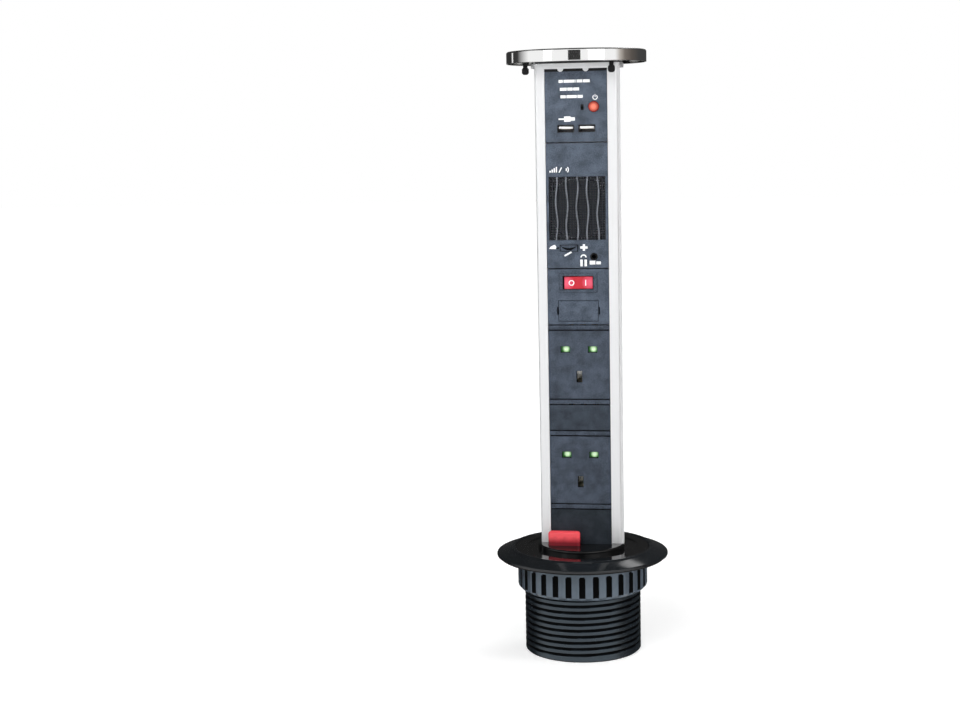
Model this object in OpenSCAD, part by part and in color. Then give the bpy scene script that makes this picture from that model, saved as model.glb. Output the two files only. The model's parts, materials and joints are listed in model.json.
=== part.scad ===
// Pop up desk socket: a power tower that slides up through a collar in a worktop hole.
// Millimetres, +Z up, the sockets face -Y. The origin is on the axis, level with the worktop.

/* [Collar] */
// Radius of the brim that covers the worktop hole
brim_r = 70; // [66:0.5:80]
// Thickness of the brim at its edge
brim_edge = 2; // [1.5:0.1:3]
// Rise of the conical brim from its edge to the bead
brim_rise = 5; // [4:0.1:6]
// Wall of the threaded tube
tube_wall = 4; // [3:0.1:5]
// Depth of the tube below the worktop
tube_depth = 77.5; // [65:0.5:110]
// Pitch of the thread on the tube
thread_pitch = 5; // [4:0.5:8]
// Height of the half-moon latch boss above the deck
boss_h = 4.2; // [3:0.1:4.6]

/* [Lock nut] */
// Wall of the nut, from its thread to the tips of its ribs
nut_wall = 5; // [4:0.1:7]
// Height of the nut
nut_h = 23; // [15:0.5:40]
// Number of grip ribs around the nut
rib_count = 30; // [16:1:36]

/* [Column] */
// Width of the aluminium column
column_w = 66; // [60:0.5:74]
// Depth of the column from front to back
column_d = 40; // [38:0.5:44]
// Wall of the column
column_wall = 2.5; // [2:0.1:2.8]
// Width of the opening that the faceplates fill
panel_w = 50; // [46:0.1:52]
// Height of the column above the worktop
column_top = 396; // [380:1:440]

/* [Modules] */
// Height of the double USB charger
usb_h = 59; // [52:0.5:66]
// Height of the loudspeaker
speaker_h = 100.5; // [92:0.5:114]
// Height of the switch and fuse module
switch_h = 45.5; // [42:0.5:50]
// Height of one socket
socket_h = 65; // [58:0.5:68]
// Height of the blank plate between the sockets
spacer_h = 21.5; // [15:0.5:30]

/* [Cap] */
// Radius of the steel cap
cap_r = 55.5; // [50:0.5:62]
// Height of the cap
cap_h = 9.7; // [9:0.1:13]
// Reach of the cap's bumpers below its edge
bumper_reach = 8.5; // [7.7:0.1:11]

/* [Controls] */
// Width of the red release button
release_w = 26; // [18:0.5:28]
// Height of the release button above the worktop
release_top = 23; // [19:0.5:23]
// Diameter of the power button
power_d = 8.2; // [6:0.1:9]
// Length of the volume key
volume_w = 13.6; // [10:0.1:15]

/* [Hidden] */
$fn = 96;
// Amount by which cutting shapes pass a face
cut = 1;
// Reach of the cuts that pass right through the front
through = 20;
// Gap between pieces that slide past each other
slide_gap = 0.4;
// Gap between pieces that are fitted together
fit_gap = 0.2;
// Gap between pieces that are pressed together
press_gap = 0.05;
// Gap under a head or a cover that sits in a recess
seat_gap = 0.1;
// Half of the gap at a joint between two faceplates
seam = 0.35;
// Small bevel on moulded and turned edges
bevel = 0.5;

// Column section
column_front = 6;
column_half = column_w / 2;
column_back = column_d - column_front;
front_corner_r = 2;
rear_corner_r = 15;
column_reach = norm([column_half - rear_corner_r, column_back - rear_corner_r]) + rear_corner_r;
foot_room = 17.5;
column_bottom = foot_room - tube_depth;
lip_back = -column_front + column_wall;
relief = 3.4;
relief_half = panel_w / 2 + slide_gap;
port_r = 3.2;
port_hole = 1.45;
port_inset = 2.7;
port_side = column_half - column_wall - port_inset;
port_y = 8;
port_rear_x = column_half - 14;
port_rear_y = column_back - column_wall - port_inset;
ports = [
    [-port_side, port_y], [port_side, port_y], [-port_rear_x, port_rear_y], [port_rear_x, port_rear_y]
];
port_screw_r = port_hole - 0.1;
port_screw_len = 18;

// Guide and tube, as wide as the column needs, to a tenth of a millimetre
guide_wall = 1.7;
guide_r = round((column_reach + slide_gap + guide_wall) * 10) / 10;
tube_in = guide_r + fit_gap;
tube_r = tube_in + tube_wall;
tube_chamfer = 1.2;
thread_depth = 1.2;
thread_floor = thread_pitch / 4;
thread_flank = thread_pitch / 5;
thread_low = -thread_pitch * floor((tube_depth - 2) / thread_pitch);
thread_high = 0;
guide_flange_r = tube_in + 2;
guide_flange_t = 1.5;
guide_bottom = column_bottom + bevel;
guide_shell = 2;
guide_rib = 3;
hollow_half = column_half - 3;
hollow_back = -12;

// Cap
head_t = 3.3;
head_rim = 2.8;
head_screw_r = 2.7;
head_screw_t = 1.8;
cap_z = column_top + head_t;
cap_top = cap_z + cap_h;
cap_sheet = 2;
cap_ceiling = cap_top - cap_sheet;
cap_wall = 1.6;
cap_round = 1.5;
hub_inset = 3;
bumper_angle = 78;
bumper_r = 2.75;
bumper_stem_r = 1.8;
bumper_collar = 1.2;
bumper_neck = 4.5;
bumper_ring = max(
    (column_back + head_rim + bumper_r + bevel) / sin(bumper_angle),
    (column_half + head_rim + bumper_r + bevel) / cos(bumper_angle - 60)
);
bumper_end = cap_z - bumper_reach;

// Collar heights and radii
gasket_t = 1.5;
gasket_in = tube_r + 6.5;
gasket_inset = 2;
bead_in = tube_r + 7.3;
bead_w = 3.2;
bead_out = bead_in + bead_w;
bead_round = 0.4;
bead_foot = 0.8;
brim_top = gasket_t + brim_edge + brim_rise;
deck_floor = gasket_t + 3;
deck_top = brim_top - bevel;
deck_low = deck_top - 0.7;
deck_step_r = bumper_ring + 4;
deck_step = 0.6;
boss_top = deck_low + boss_h;
boss_r = 36;
boss_round = 1.5;
screw_r = 1.25;
screw_head_r = 2.2;
screw_head_t = 1.4;
screw_bite = 2.4;
deck_screw_ring = bead_in - 3.8;
deck_screw_count = 3;
deck_screw_turn = 30;

// Nut and washer
nut_bore = tube_r + bevel;
nut_r = nut_bore + nut_wall;
washer_top = -0.6;
washer_t = 2;
washer_gap = 0.3;
nut_top = washer_top - washer_t - washer_gap;
nut_edge = 0.6;
nut_band = 2.4;
nut_groove_w = 3.6;
nut_groove_d = 1.8;
nut_chamfer = 3;

// Faceplates
face_y = -column_front + fit_gap;
face_w = panel_w - 2 * fit_gap;
tongue_reach = 4.6;
base_w = min(panel_w + 2 * tongue_reach, column_w - 2 * column_wall - cut);
base_t = 2.2;
base_back = lip_back + base_t;

// Heights of the seams between the modules, from the top down
usb_z = column_top - usb_h;
speaker_z = usb_z - speaker_h;
switch_z = speaker_z - switch_h;
socket1_z = switch_z - socket_h;
spacer_z = socket1_z - spacer_h;
socket2_z = spacer_z - socket_h;

// USB module
usb_port_x = 8.4;
usb_port_z = usb_z + 11;
usb_in_w = 12.5;
usb_in_h = 5.1;
usb_wall = 0.35;
usb_clear = 0.1;
usb_back = 0.6;
usb_front = face_y + 0.3;
usb_tongue_w = 11.1;
usb_tongue_t = 1.84;
usb_tongue_up = 0.75;
board_y = 10;
board_t = 1.6;
board_back = board_y + board_t;
board_half = 22;
charger_low = usb_z + 3;
charger_high = column_top - 4;
transformer = [-8, usb_z + 40];
transformer_w = 16;
transformer_h = 14;
transformer_deep = 11.4;
capacitors = [[10, usb_z + 22], [-6, usb_z + 20]];
capacitor_r = 4.5;
capacitor_deep = 12;
power_x = 14.1;
power_z = usb_z + 28;
power_r = power_d / 2;
power_proud = 1.6;
power_gap = 0.25;
power_flange = 0.8;
power_flange_t = 1;
power_stem_r = 1.5;
power_stem_end = 3.2;
power_body = 7;
power_body_front = 4.6;
lens_x = 4.9;
lens_z = power_z - 0.7;
lens_r = 1.2;
lens_proud = 0.1;
lens_back = 1;

// Speaker module
grille_w = panel_w - 4.6;
grille_h = 50.4;
grille_z = speaker_z + 48.2;
grille_ribs = 5;
rib_pitch = (grille_w - 12.2) / (grille_ribs - 1);
rib_w = 1.3;
rib_sway = 0.7;
rib_wave = 17;
rib_root = 0.5;
mesh_t = 0.8;
mesh_edge = 1.1;
mesh_gap = 0.2;
speaker_r = 23.5;
speaker_front = base_back + 0.1;
frame_rim_w = 2;
frame_rim_t = 1.6;
basket_r = 15;
basket_deep = 15;
basket_hole = 7;
basket_t = 1.2;
cone_r = speaker_r - 2.3;
surround_r = 19;
voice_r = 7;
voice_deep = 8;
voice_end = 13;
cone_t = 1;
dome_deep = 5;
magnet_r = 14;
magnet_t = 8.9;
amplifier_low = speaker_z + 2;
amplifier_h = 19;
volume_x = -7;
volume_z = speaker_z + 16.5;
volume_h = 4.4;
volume_proud = 0.7;
volume_gap = 0.5;
volume_flange = 1.2;
volume_flange_t = 0.9;
volume_stem_inset = 1;
volume_body_w = 9;
volume_body_h = 5;
volume_body_front = 1.6;
jack_x = 13;
jack_z = speaker_z + 9.5;
jack_bore = 1.75;
jack_r = 2.9;
jack_depth = 14;
jack_sink = 0.1;
jack_body_w = 8;
jack_body_h = 7;
mic_x = -15.7;
mic_r = 0.8;

// Switch module, whose cover and bezel grow with it
rocker_z = switch_z + switch_h * 3 / 4;
rocker_w = 22.8;
bezel_h = switch_h * 0.35;
bezel_w = 31;
bezel_proud = 0.8;
rocker_h = bezel_h - 6.2;
rocker_tilt = 7;
rocker_pivot_y = -3;
rocker_pin_r = 1.2;
rocker_pin_gap = 0.3;
rocker_edge = 4.2;
rocker_dip = 3.4;
rocker_heel = 1;
rocker_back = 2;
rocker_back_half = 5;
rocker_pocket_back = 2.5;
rocker_side_gap = 0.9;
case_w = bezel_w - 3.4;
case_h = bezel_h - 2.4;
case_back = 12;
fuse_z = switch_z + switch_h / 4;
fuse_cover_w = 32;
fuse_cover_h = switch_h * 0.36;
fuse_cover_proud = 0.3;
fuse_cover_t = 1.5;
fuse_body_w = fuse_cover_w - 4.4;
fuse_body_h = fuse_cover_h - 4.6;
fuse_body_back = -0.4;
fuse_arm_t = 1;
fuse_arm_back = 7.5;
fuse_notch_w = 2.4;
fuse_notch_h = 6;
fuse_r = 3.15;
fuse_len = 25.4;
fuse_y = 3.2;
holder_wall = 2;
holder_back = 12;
holder_floor = 9.6;
fuse_clip_x = 9.5;
fuse_clip_w = 5;
fuse_clip_leaf = 0.6;
fuse_clip_half = 3.7;
fuse_clip_root = 0.7;

// Sockets, to the common three-pin spacing
pin_side = 11.1;
pin_drop = 22.2;
line_z_down = 20;
line_w = 7.6;
line_h = 5;
earth_w = 4.6;
earth_h = 9.2;
socket_border = 4.7;
socket_step = 0.3;
socket_groove = 0.8;
socket_groove_d = 1.4;
socket_back = base_back + 0.7;
shutter_y = socket_back + 0.3;
shutter_t = 2.3;
shutter_half = 17;
shutter_travel = 6.5;
shutter_low = 11;
shutter_high = 4.5;
shutter_tail_half = 2;
shutter_window = 0.3;
rail_w = 1.4;
rail_h = 24;
rail_down = 2;
rail_gap = 0.4;
stop_w = 6;
stop_h = 1.6;
stop_up = 15;
block_y = shutter_y + shutter_t + slide_gap;
block_back = block_y + 22;
block_half = port_side - port_r - 1.1;
block_inset = 6;
rail_back = block_y - 0.1;
pocket_back = block_back - 2.4;
line_pocket = [9.4, 9];
earth_pocket = [9, 12];
clip_front = block_y + 1.6;
clip_back = pocket_back - 0.1;
clip_leaf = 0.8;
line_clip = [9, 5];
earth_clip = [7, 10];

// Release button and latch
release_x = -13;
release_back = -11;
release_deep = 6.5;
release_front = release_back - release_deep;
release_low = -2;
release_round = 1.5;
release_gap = 0.3;
release_ledge = 1.6;
release_left = release_x - release_w / 2;
release_right = release_x + release_w / 2;
release_travel = 5;
bolt_left = -column_half + 1.5;
bolt_nose_w = 5;
bolt_nose_gap = 0.3;
bolt_bar = 3.6;
bolt_front = -22;
bolt_tip = -column_front - bevel;
bolt_low = -14;
chamber_left = bolt_left - 1.5;
chamber_right = release_right + 1;
chamber_front = -31;
chamber_back = release_back + 0.6;
chamber_low = -22;
chamber_r = guide_r - guide_shell;
cam_left = -24;
cam_right = -18;
cam_front = -17;
cam_top = -8;
cam_t = 4.5;
cam_throw = 3;
cam_gap = 0.35;
release_spring_x = release_right - 7;
release_coil_r = 2.4;
release_wire_r = 0.4;
release_turns = 7;
latch_spring_x = cam_left + 2;
latch_coil_r = 2;
latch_wire_r = 0.35;
latch_turns = 5;
shutter_coil_r = 0.85;
shutter_wire_r = 0.2;
shutter_turns = 9;

// Foot
foot_r = tube_in - 0.7;
foot_t = 4;
foot_low = column_bottom - foot_t;
foot_screw_r = 2.6;
foot_screw_t = 1.6;
inlet_r = 5;
inlet_y = 13;
gland_r = inlet_r + 4;
gland_gap = 0.1;
gland_flange_r = gland_r + 2.5;
gland_flange_t = 2;
gland_low = foot_low - 8;
gland_top = column_bottom + 6;
terminal_half = 15;
terminal_front = 17;
terminal_low = column_bottom + 20;
terminal_top = terminal_low + 16;
terminal_hole_y = terminal_front + 3.5;
terminal_screw_r = 2;
terminal_screw_deep = 6;
terminal_wire_r = 2.6;
terminal_wire_deep = 8;
bar_places = [-10, 0, 10];
bar_w = 5;
bar_t = 1;
bar_top = speaker_z - 20;

// Shared shapes

// Box between two corners
module span(low, high) {
    translate(low) cube(high - low);
}

// Box centred across X and Z at a place on the front, between two depths
module panel_box(x, z, w, h, y0, y1) {
    span([x - w / 2, y0, z - h / 2], [x + w / 2, y1, z + h / 2]);
}

// Cylinder that runs along Y between two depths
module panel_rod(x, z, r, y0, y1) {
    translate([x, y0, z]) rotate([-90, 0, 0]) cylinder(r = r, h = y1 - y0);
}

// Outline of the column, grown or shrunk by g
module column_outline(g) {
    half = column_half + g;
    front = -column_front - g;
    back = column_back + g;
    fr = max(front_corner_r + g, slide_gap);
    rr = rear_corner_r + g;
    for (side = [-1, 1]) {
        translate([side * (half - fr), front + fr]) circle(fr);
        translate([side * (half - rr), back - rr]) circle(rr);
    }
    translate([-half, front + fr]) square([2 * half, back - rr - front - fr]);
    translate([-half + fr, front]) square([2 * (half - fr), fr + cut]);
    translate([-half + rr, back - rr - cut]) square([2 * (half - rr), rr + cut]);
}

// Hole for the column, with room in front for the controls that stand proud
module column_hole(z0, z1) {
    translate([0, 0, z0]) linear_extrude(z1 - z0) column_outline(slide_gap);
    span([-relief_half, -column_front - relief, z0], [relief_half, 0, z1]);
}

// Coil spring along Z, swept as one tube
module coil(coil_r, wire_r, length, turns) {
    sides = 6;
    turn_steps = 8;
    steps = turn_steps * turns;
    echo("gap between the curls", length / turns - 2 * wire_r);
    points = [
        for (i = [0:steps], s = [0:sides - 1])
            let (a = 360 * i / turn_steps, b = 360 * s / sides, r = coil_r + wire_r * cos(b))
            [r * cos(a), r * sin(a), wire_r + (length - 2 * wire_r) * i / steps + wire_r * sin(b)]
    ];
    walls = [
        for (i = [0:steps - 1], s = [0:sides - 1])
            let (t = (s + 1) % sides)
            [i * sides + s, (i + 1) * sides + s, (i + 1) * sides + t, i * sides + t]
    ];
    first = [for (s = [0:sides - 1]) s];
    last = [for (s = [sides - 1:-1:0]) steps * sides + s];
    polyhedron(points = points, faces = concat(walls, [first, last]), convexity = 10);
}

// Groove of the tube's thread, swept up along a helix, which runs out at both ends
module thread_groove() {
    turn_steps = 36;
    steps = turn_steps * (thread_high - thread_low) / thread_pitch;
    over = fit_gap;
    slope = thread_flank / thread_depth;
    points = [
        for (i = [0:steps])
            let (
                a = 360 * i / turn_steps,
                z = thread_low + thread_pitch * i / turn_steps,
                share = min(1, i / turn_steps, (steps - i) / turn_steps),
                floor_r = tube_r + over / 2 - (thread_depth + over / 2) * share,
                top_r = tube_r + over,
                low = thread_floor / 2,
                wide = low + (top_r - floor_r) * slope
            )
            for (p = [[floor_r, -low], [top_r, -wide], [top_r, wide], [floor_r, low]])
                [p[0] * cos(a), p[0] * sin(a), z + p[1]]
    ];
    walls = [
        for (i = [0:steps - 1], s = [0:3])
            let (t = (s + 1) % 4)
            [4 * i + s, 4 * i + t, 4 * i + 4 + t, 4 * i + 4 + s]
    ];
    first = [3, 2, 1, 0];
    last = [for (s = [0:3]) 4 * steps + s];
    polyhedron(points = points, faces = concat(walls, [first, last]), convexity = 20);
}

// Plain faceplate between two heights, with tongues that sit behind the column's lips
module faceplate(z0, z1) {
    span([-face_w / 2, face_y, z0 + seam], [face_w / 2, lip_back, z1 - seam]);
    span([-base_w / 2, lip_back, z0 + seam], [base_w / 2, base_back, z1 - seam]);
}

// Places of the deck screws
module at_deck_screws(z) {
    for (i = [0:deck_screw_count - 1])
        rotate(deck_screw_turn + i * 360 / deck_screw_count) translate([deck_screw_ring, 0, z]) children();
}

// Collar

module collar_housing() {
    color("#17181a") difference() {
        rotate_extrude() polygon([
            [tube_in, -tube_depth],
            [tube_r - tube_chamfer, -tube_depth],
            [tube_r, -tube_depth + tube_chamfer],
            [tube_r, gasket_t],
            [brim_r - bevel, gasket_t],
            [brim_r, gasket_t + bevel],
            [brim_r, gasket_t + brim_edge - bevel],
            [brim_r - bevel, gasket_t + brim_edge],
            [bead_out + bead_foot, brim_top - bead_foot],
            [bead_out, brim_top],
            [bead_in + bead_round, brim_top],
            [bead_in, brim_top - bead_round],
            [bead_in, deck_floor],
            [guide_flange_r + fit_gap, deck_floor],
            [guide_flange_r + fit_gap, deck_floor - guide_flange_t],
            [tube_in, deck_floor - guide_flange_t]
        ]);
        thread_groove();
        at_deck_screws(gasket_t - cut) {
            cylinder(r = screw_r + fit_gap, h = deck_floor);
            cylinder(r = screw_head_r + fit_gap, h = screw_head_t + cut);
        }
    }
}

module flange_gasket() {
    color("#2a2b2d") rotate_extrude()
        translate([gasket_in, 0]) square([brim_r - gasket_inset - gasket_in, gasket_t]);
}

module deck_insert() {
    color("#0f1011") difference() {
        union() {
            rotate_extrude() polygon([
                [0, deck_floor],
                [bead_in - fit_gap, deck_floor],
                [bead_in - fit_gap, deck_top - bead_round],
                [bead_in - fit_gap - bead_round, deck_top],
                [deck_step_r + deck_step, deck_top],
                [deck_step_r, deck_low],
                [0, deck_low]
            ]);
            intersection() {
                rotate_extrude() polygon(concat(
                    [[0, deck_floor], [boss_r, deck_floor]],
                    [for (a = [0:15:90]) [
                        boss_r - boss_round + boss_round * cos(a),
                        boss_top - boss_round + boss_round * sin(a)
                    ]],
                    [[0, boss_top]]
                ));
                span([-brim_r, -brim_r, 0], [brim_r, -column_front - slide_gap, boss_top + cut]);
            }
        }
        column_hole(deck_floor - cut, boss_top + cut);
        span(
            [release_left - release_gap, release_front - release_gap, deck_floor - cut],
            [release_right + release_gap, release_back + release_gap, boss_top + cut]
        );
        at_deck_screws(deck_floor - cut)
            cylinder(r = screw_r + press_gap, h = cut + screw_bite + fit_gap);
    }
}

module deck_screws() {
    color("#8d9095") at_deck_screws(gasket_t) {
        cylinder(r = screw_head_r, h = screw_head_t);
        cylinder(r = screw_r, h = deck_floor - gasket_t + screw_bite);
    }
}

module column_guide() {
    color("#303236") difference() {
        union() {
            translate([0, 0, guide_bottom]) cylinder(r = guide_r, h = deck_floor - guide_bottom);
            translate([0, 0, deck_floor - guide_flange_t]) cylinder(r = guide_flange_r, h = guide_flange_t);
        }
        column_hole(guide_bottom - cut, deck_floor + cut);
        // chamber of the button and the latch, and below it a hollow that saves material
        intersection() {
            union() {
                span(
                    [chamber_left, chamber_front, chamber_low],
                    [chamber_right, chamber_back, deck_floor + cut]
                );
                span(
                    [-hollow_half, -tube_r, guide_bottom - cut],
                    [hollow_half, hollow_back, chamber_low - guide_rib]
                );
            }
            cylinder(r = chamber_r, h = 3 * tube_depth, center = true);
        }
        span(
            [bolt_left - slide_gap, chamber_back - cut, bolt_low - slide_gap],
            [bolt_left + bolt_nose_w + slide_gap, -column_front, cam_top + slide_gap]
        );
    }
}

module release_spring() {
    color("#c9ccd0") translate([release_spring_x, release_back - release_deep / 2, chamber_low + press_gap])
        coil(release_coil_r, release_wire_r, release_low - chamber_low - 2 * press_gap, release_turns);
}

module latch_spring() {
    color("#c9ccd0") translate([latch_spring_x, bolt_front - press_gap, (bolt_low + cam_top) / 2])
        rotate([90, 0, 0])
            coil(latch_coil_r, latch_wire_r, bolt_front - chamber_front - 2 * press_gap, latch_turns);
}

module clamp_washer() {
    color("#3a3c40") translate([0, 0, washer_top - washer_t]) difference() {
        cylinder(r = nut_r, h = washer_t);
        translate([0, 0, -cut]) cylinder(r = nut_bore, h = washer_t + 2 * cut);
    }
}

module lock_nut() {
    color("#1b1c1f") difference() {
        rotate_extrude() polygon([
            [nut_bore, nut_top - nut_h],
            [nut_r - nut_chamfer, nut_top - nut_h],
            [nut_r, nut_top - nut_h + nut_chamfer],
            [nut_r, nut_top - nut_edge],
            [nut_r - nut_edge, nut_top],
            [nut_bore, nut_top]
        ]);
        for (i = [0:rib_count - 1])
            rotate(i * 360 / rib_count) span(
                [nut_r - nut_groove_d, -nut_groove_w / 2, nut_top - nut_h - cut],
                [nut_r + cut, nut_groove_w / 2, nut_top - nut_band]
            );
    }
}

module release_button() {
    round_z = release_top - release_round;
    ledge_left = max(release_left - release_ledge, chamber_left + release_round);
    color("#c03a48") {
        span([release_left, release_front, release_low], [release_right, release_back, round_z]);
        // rounded top edge, along the button
        translate([release_left, 0, 0]) rotate([90, 0, 90]) linear_extrude(release_w) {
            translate([release_front + release_round, round_z]) circle(release_round);
            translate([release_back - release_round, round_z]) circle(release_round);
            translate([release_front + release_round, round_z - bevel])
                square([release_deep - 2 * release_round, release_round + bevel]);
        }
        // flange that holds the button under the deck
        span(
            [ledge_left, release_front - release_ledge, release_low],
            [release_right + bevel, release_back, deck_floor - release_gap]
        );
        // cam that draws the latch bolt forward
        translate([cam_left, 0, 0]) rotate([90, 0, 90]) linear_extrude(cam_right - cam_left) polygon([
            [cam_front + cam_t, release_low + cut],
            [cam_front, release_low + cut],
            [cam_front, cam_top],
            [cam_front + cam_throw, cam_top - release_travel],
            [cam_front + cam_t, cam_top - release_travel]
        ]);
    }
}

module latch_bolt() {
    lug = cam_front - cam_gap;
    color("#b9bcc2") {
        // lug that the cam pushes
        translate([cam_left, 0, 0]) rotate([90, 0, 90]) linear_extrude(cam_right - cam_left) polygon([
            [bolt_front, cam_top],
            [lug, cam_top],
            [lug + cam_throw, cam_top - release_travel],
            [lug + cam_throw, bolt_low],
            [bolt_front, bolt_low]
        ]);
        span([bolt_left, bolt_front, bolt_low], [cam_right, bolt_front + bolt_bar, cam_top]);
        span([bolt_left, bolt_front, bolt_low], [bolt_left + bolt_nose_w, bolt_tip, cam_top]);
    }
}

// Column and cap

module column_profile() {
    color("#e4e6e8") difference() {
        translate([0, 0, column_bottom]) linear_extrude(column_top - column_bottom) difference() {
            union() {
                difference() {
                    column_outline(0);
                    column_outline(-column_wall);
                }
                for (p = ports) translate(p) circle(port_r);
            }
            for (p = ports) translate(p) circle(port_hole);
            translate([-panel_w / 2, -column_front - cut]) square([panel_w, column_wall + 2 * cut]);
        }
        // notch for the latch bolt
        span(
            [bolt_left - bolt_nose_gap, -column_front - cut, bolt_low - bolt_nose_gap],
            [bolt_left + bolt_nose_w + bolt_nose_gap, lip_back + fit_gap, cam_top + bolt_nose_gap]
        );
    }
}

module head_plate() {
    sink = head_screw_t + seat_gap;
    color("#eceded") difference() {
        translate([0, 0, column_top]) linear_extrude(head_t) column_outline(head_rim);
        for (p = ports) translate([p[0], p[1], column_top - cut]) {
            cylinder(r = port_hole + fit_gap, h = head_t + 2 * cut);
            translate([0, 0, cut + head_t - sink]) cylinder(r = head_screw_r + fit_gap, h = sink + cut);
        }
    }
}

module head_screws() {
    color("#8d9095") for (p = ports)
        translate([p[0], p[1], column_top + head_t - press_gap]) rotate_extrude() polygon([
            [0, 0],
            [head_screw_r, 0],
            [head_screw_r, -head_screw_t / 2],
            [port_screw_r, -head_screw_t],
            [port_screw_r, -port_screw_len],
            [0, -port_screw_len]
        ]);
}

module cap_hub() {
    color("#26272a") translate([0, 0, cap_z])
        linear_extrude(cap_ceiling - cap_z) column_outline(-hub_inset);
}

module cap_disc() {
    color("#d9dbdd") rotate_extrude() polygon(concat(
        [[0, cap_ceiling], [cap_r - cap_wall, cap_ceiling], [cap_r - cap_wall, cap_z]],
        [[cap_r - bevel, cap_z], [cap_r, cap_z + bevel]],
        [for (a = [0:15:90]) [
            cap_r - cap_round + cap_round * cos(a), cap_top - cap_round + cap_round * sin(a)
        ]],
        [[0, cap_top]]
    ));
}

module cap_bumpers() {
    color("#1c1d1f") for (i = [0:2])
        rotate(bumper_angle + i * 120) translate([bumper_ring, 0, 0]) rotate_extrude() polygon([
            [0, cap_ceiling],
            [bumper_stem_r + bumper_collar, cap_ceiling],
            [bumper_stem_r, cap_ceiling - 2 * bevel],
            [bumper_stem_r, bumper_end + bumper_neck + 2 * bevel],
            [bumper_r, bumper_end + bumper_neck],
            [bumper_r, bumper_end + bumper_collar],
            [bumper_r - bumper_collar, bumper_end],
            [0, bumper_end]
        ]);
}

module foot_cap() {
    color("#202124") difference() {
        translate([0, 0, foot_low]) cylinder(r = foot_r, h = foot_t);
        translate([0, inlet_y, foot_low - cut]) cylinder(r = gland_r + gland_gap, h = foot_t + 2 * cut);
        for (p = ports) translate([p[0], p[1], foot_low - cut])
            cylinder(r = port_hole + fit_gap, h = foot_t + 2 * cut);
    }
}

module foot_screws() {
    color("#8d9095") for (p = ports) translate([p[0], p[1], foot_low]) {
        translate([0, 0, -foot_screw_t]) cylinder(r = foot_screw_r, h = foot_screw_t);
        cylinder(r = port_screw_r, h = port_screw_len);
    }
}

module cord_gland() {
    color("#2a2b2d") difference() {
        union() {
            translate([0, inlet_y, gland_low]) cylinder(r = gland_r, h = gland_top - gland_low);
            translate([0, inlet_y, foot_low - gland_flange_t])
                cylinder(r = gland_flange_r, h = gland_flange_t);
        }
        translate([0, inlet_y, gland_low - cut]) cylinder(r = inlet_r, h = gland_top - gland_low + 2 * cut);
    }
}

module terminal_block() {
    color("#e9e6dc") difference() {
        span(
            [-terminal_half, terminal_front, terminal_low],
            [terminal_half, column_back - column_wall, terminal_top]
        );
        for (x = bar_places) {
            translate([x, terminal_hole_y, terminal_top - terminal_screw_deep])
                cylinder(r = terminal_screw_r, h = terminal_screw_deep + cut);
            translate([x, terminal_hole_y, terminal_low - cut])
                cylinder(r = terminal_wire_r, h = terminal_wire_deep + cut);
        }
    }
}

module bus_bars() {
    color("#c9a45a") for (x = bar_places)
        span([x - bar_w / 2, block_back, terminal_top], [x + bar_w / 2, block_back + bar_t, bar_top]);
}

// USB charger

module usb_faceplate() {
    hole = 2 * (usb_wall + usb_clear);
    color("#3c424e") difference() {
        faceplate(usb_z, column_top);
        for (side = [-1, 1])
            panel_box(side * usb_port_x, usb_port_z, usb_in_w + hole, usb_in_h + hole, -through, through);
        panel_rod(power_x, power_z, power_r + power_gap, -through, through);
        panel_rod(lens_x, lens_z, lens_r + press_gap, -through, through);
    }
}

module usb_shells() {
    color("#c8cbd0") for (side = [-1, 1]) difference() {
        panel_box(
            side * usb_port_x, usb_port_z,
            usb_in_w + 2 * usb_wall, usb_in_h + 2 * usb_wall, usb_front, board_y
        );
        panel_box(side * usb_port_x, usb_port_z, usb_in_w, usb_in_h, usb_front - cut, board_y - usb_back);
    }
}

module usb_tongues() {
    color("#202226") for (side = [-1, 1])
        panel_box(
            side * usb_port_x, usb_port_z + usb_tongue_up,
            usb_tongue_w, usb_tongue_t, usb_front + cut, board_y - usb_back
        );
}

module charger_board() {
    color("#2f6b46") {
        span([-board_half, board_y, charger_low], [board_half, board_back, charger_high]);
        // transformer and capacitors on the back
        panel_box(
            transformer[0], transformer[1], transformer_w, transformer_h,
            board_back, board_back + transformer_deep
        );
        for (c = capacitors) panel_rod(c[0], c[1], capacitor_r, board_back, board_back + capacitor_deep);
    }
}

module power_switch() {
    color("#222326") panel_box(power_x, power_z, power_body, power_body, power_body_front, board_y);
}

module power_button() {
    color("#e0674e") {
        panel_rod(power_x, power_z, power_r, face_y - power_proud + bevel, base_back);
        translate([power_x, face_y - power_proud + bevel, power_z]) rotate([90, 0, 0])
            cylinder(r1 = power_r, r2 = power_r - bevel, h = bevel);
        panel_rod(
            power_x, power_z, power_r + power_flange,
            base_back + fit_gap, base_back + fit_gap + power_flange_t
        );
        panel_rod(power_x, power_z, power_stem_r, base_back - cut, power_stem_end);
    }
}

module indicator_lens() {
    color("#101114") panel_rod(lens_x, lens_z, lens_r, face_y - lens_proud, lens_back);
}

// Loudspeaker

module grille_rib(x) {
    steps = 24;
    low = grille_z - grille_h / 2 - rib_root;
    long = grille_h + 2 * rib_root;
    sway = function (t) rib_sway * sin(180 * t * grille_h / rib_wave + 25 * x);
    left = [for (i = [0:steps]) [x - rib_w / 2 + sway(i / steps), low + long * i / steps]];
    right = [for (i = [steps:-1:0]) [x + rib_w / 2 + sway(i / steps), low + long * i / steps]];
    translate([0, lip_back, 0]) rotate([90, 0, 0])
        linear_extrude(lip_back - face_y - fit_gap) polygon(concat(left, right));
}

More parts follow.
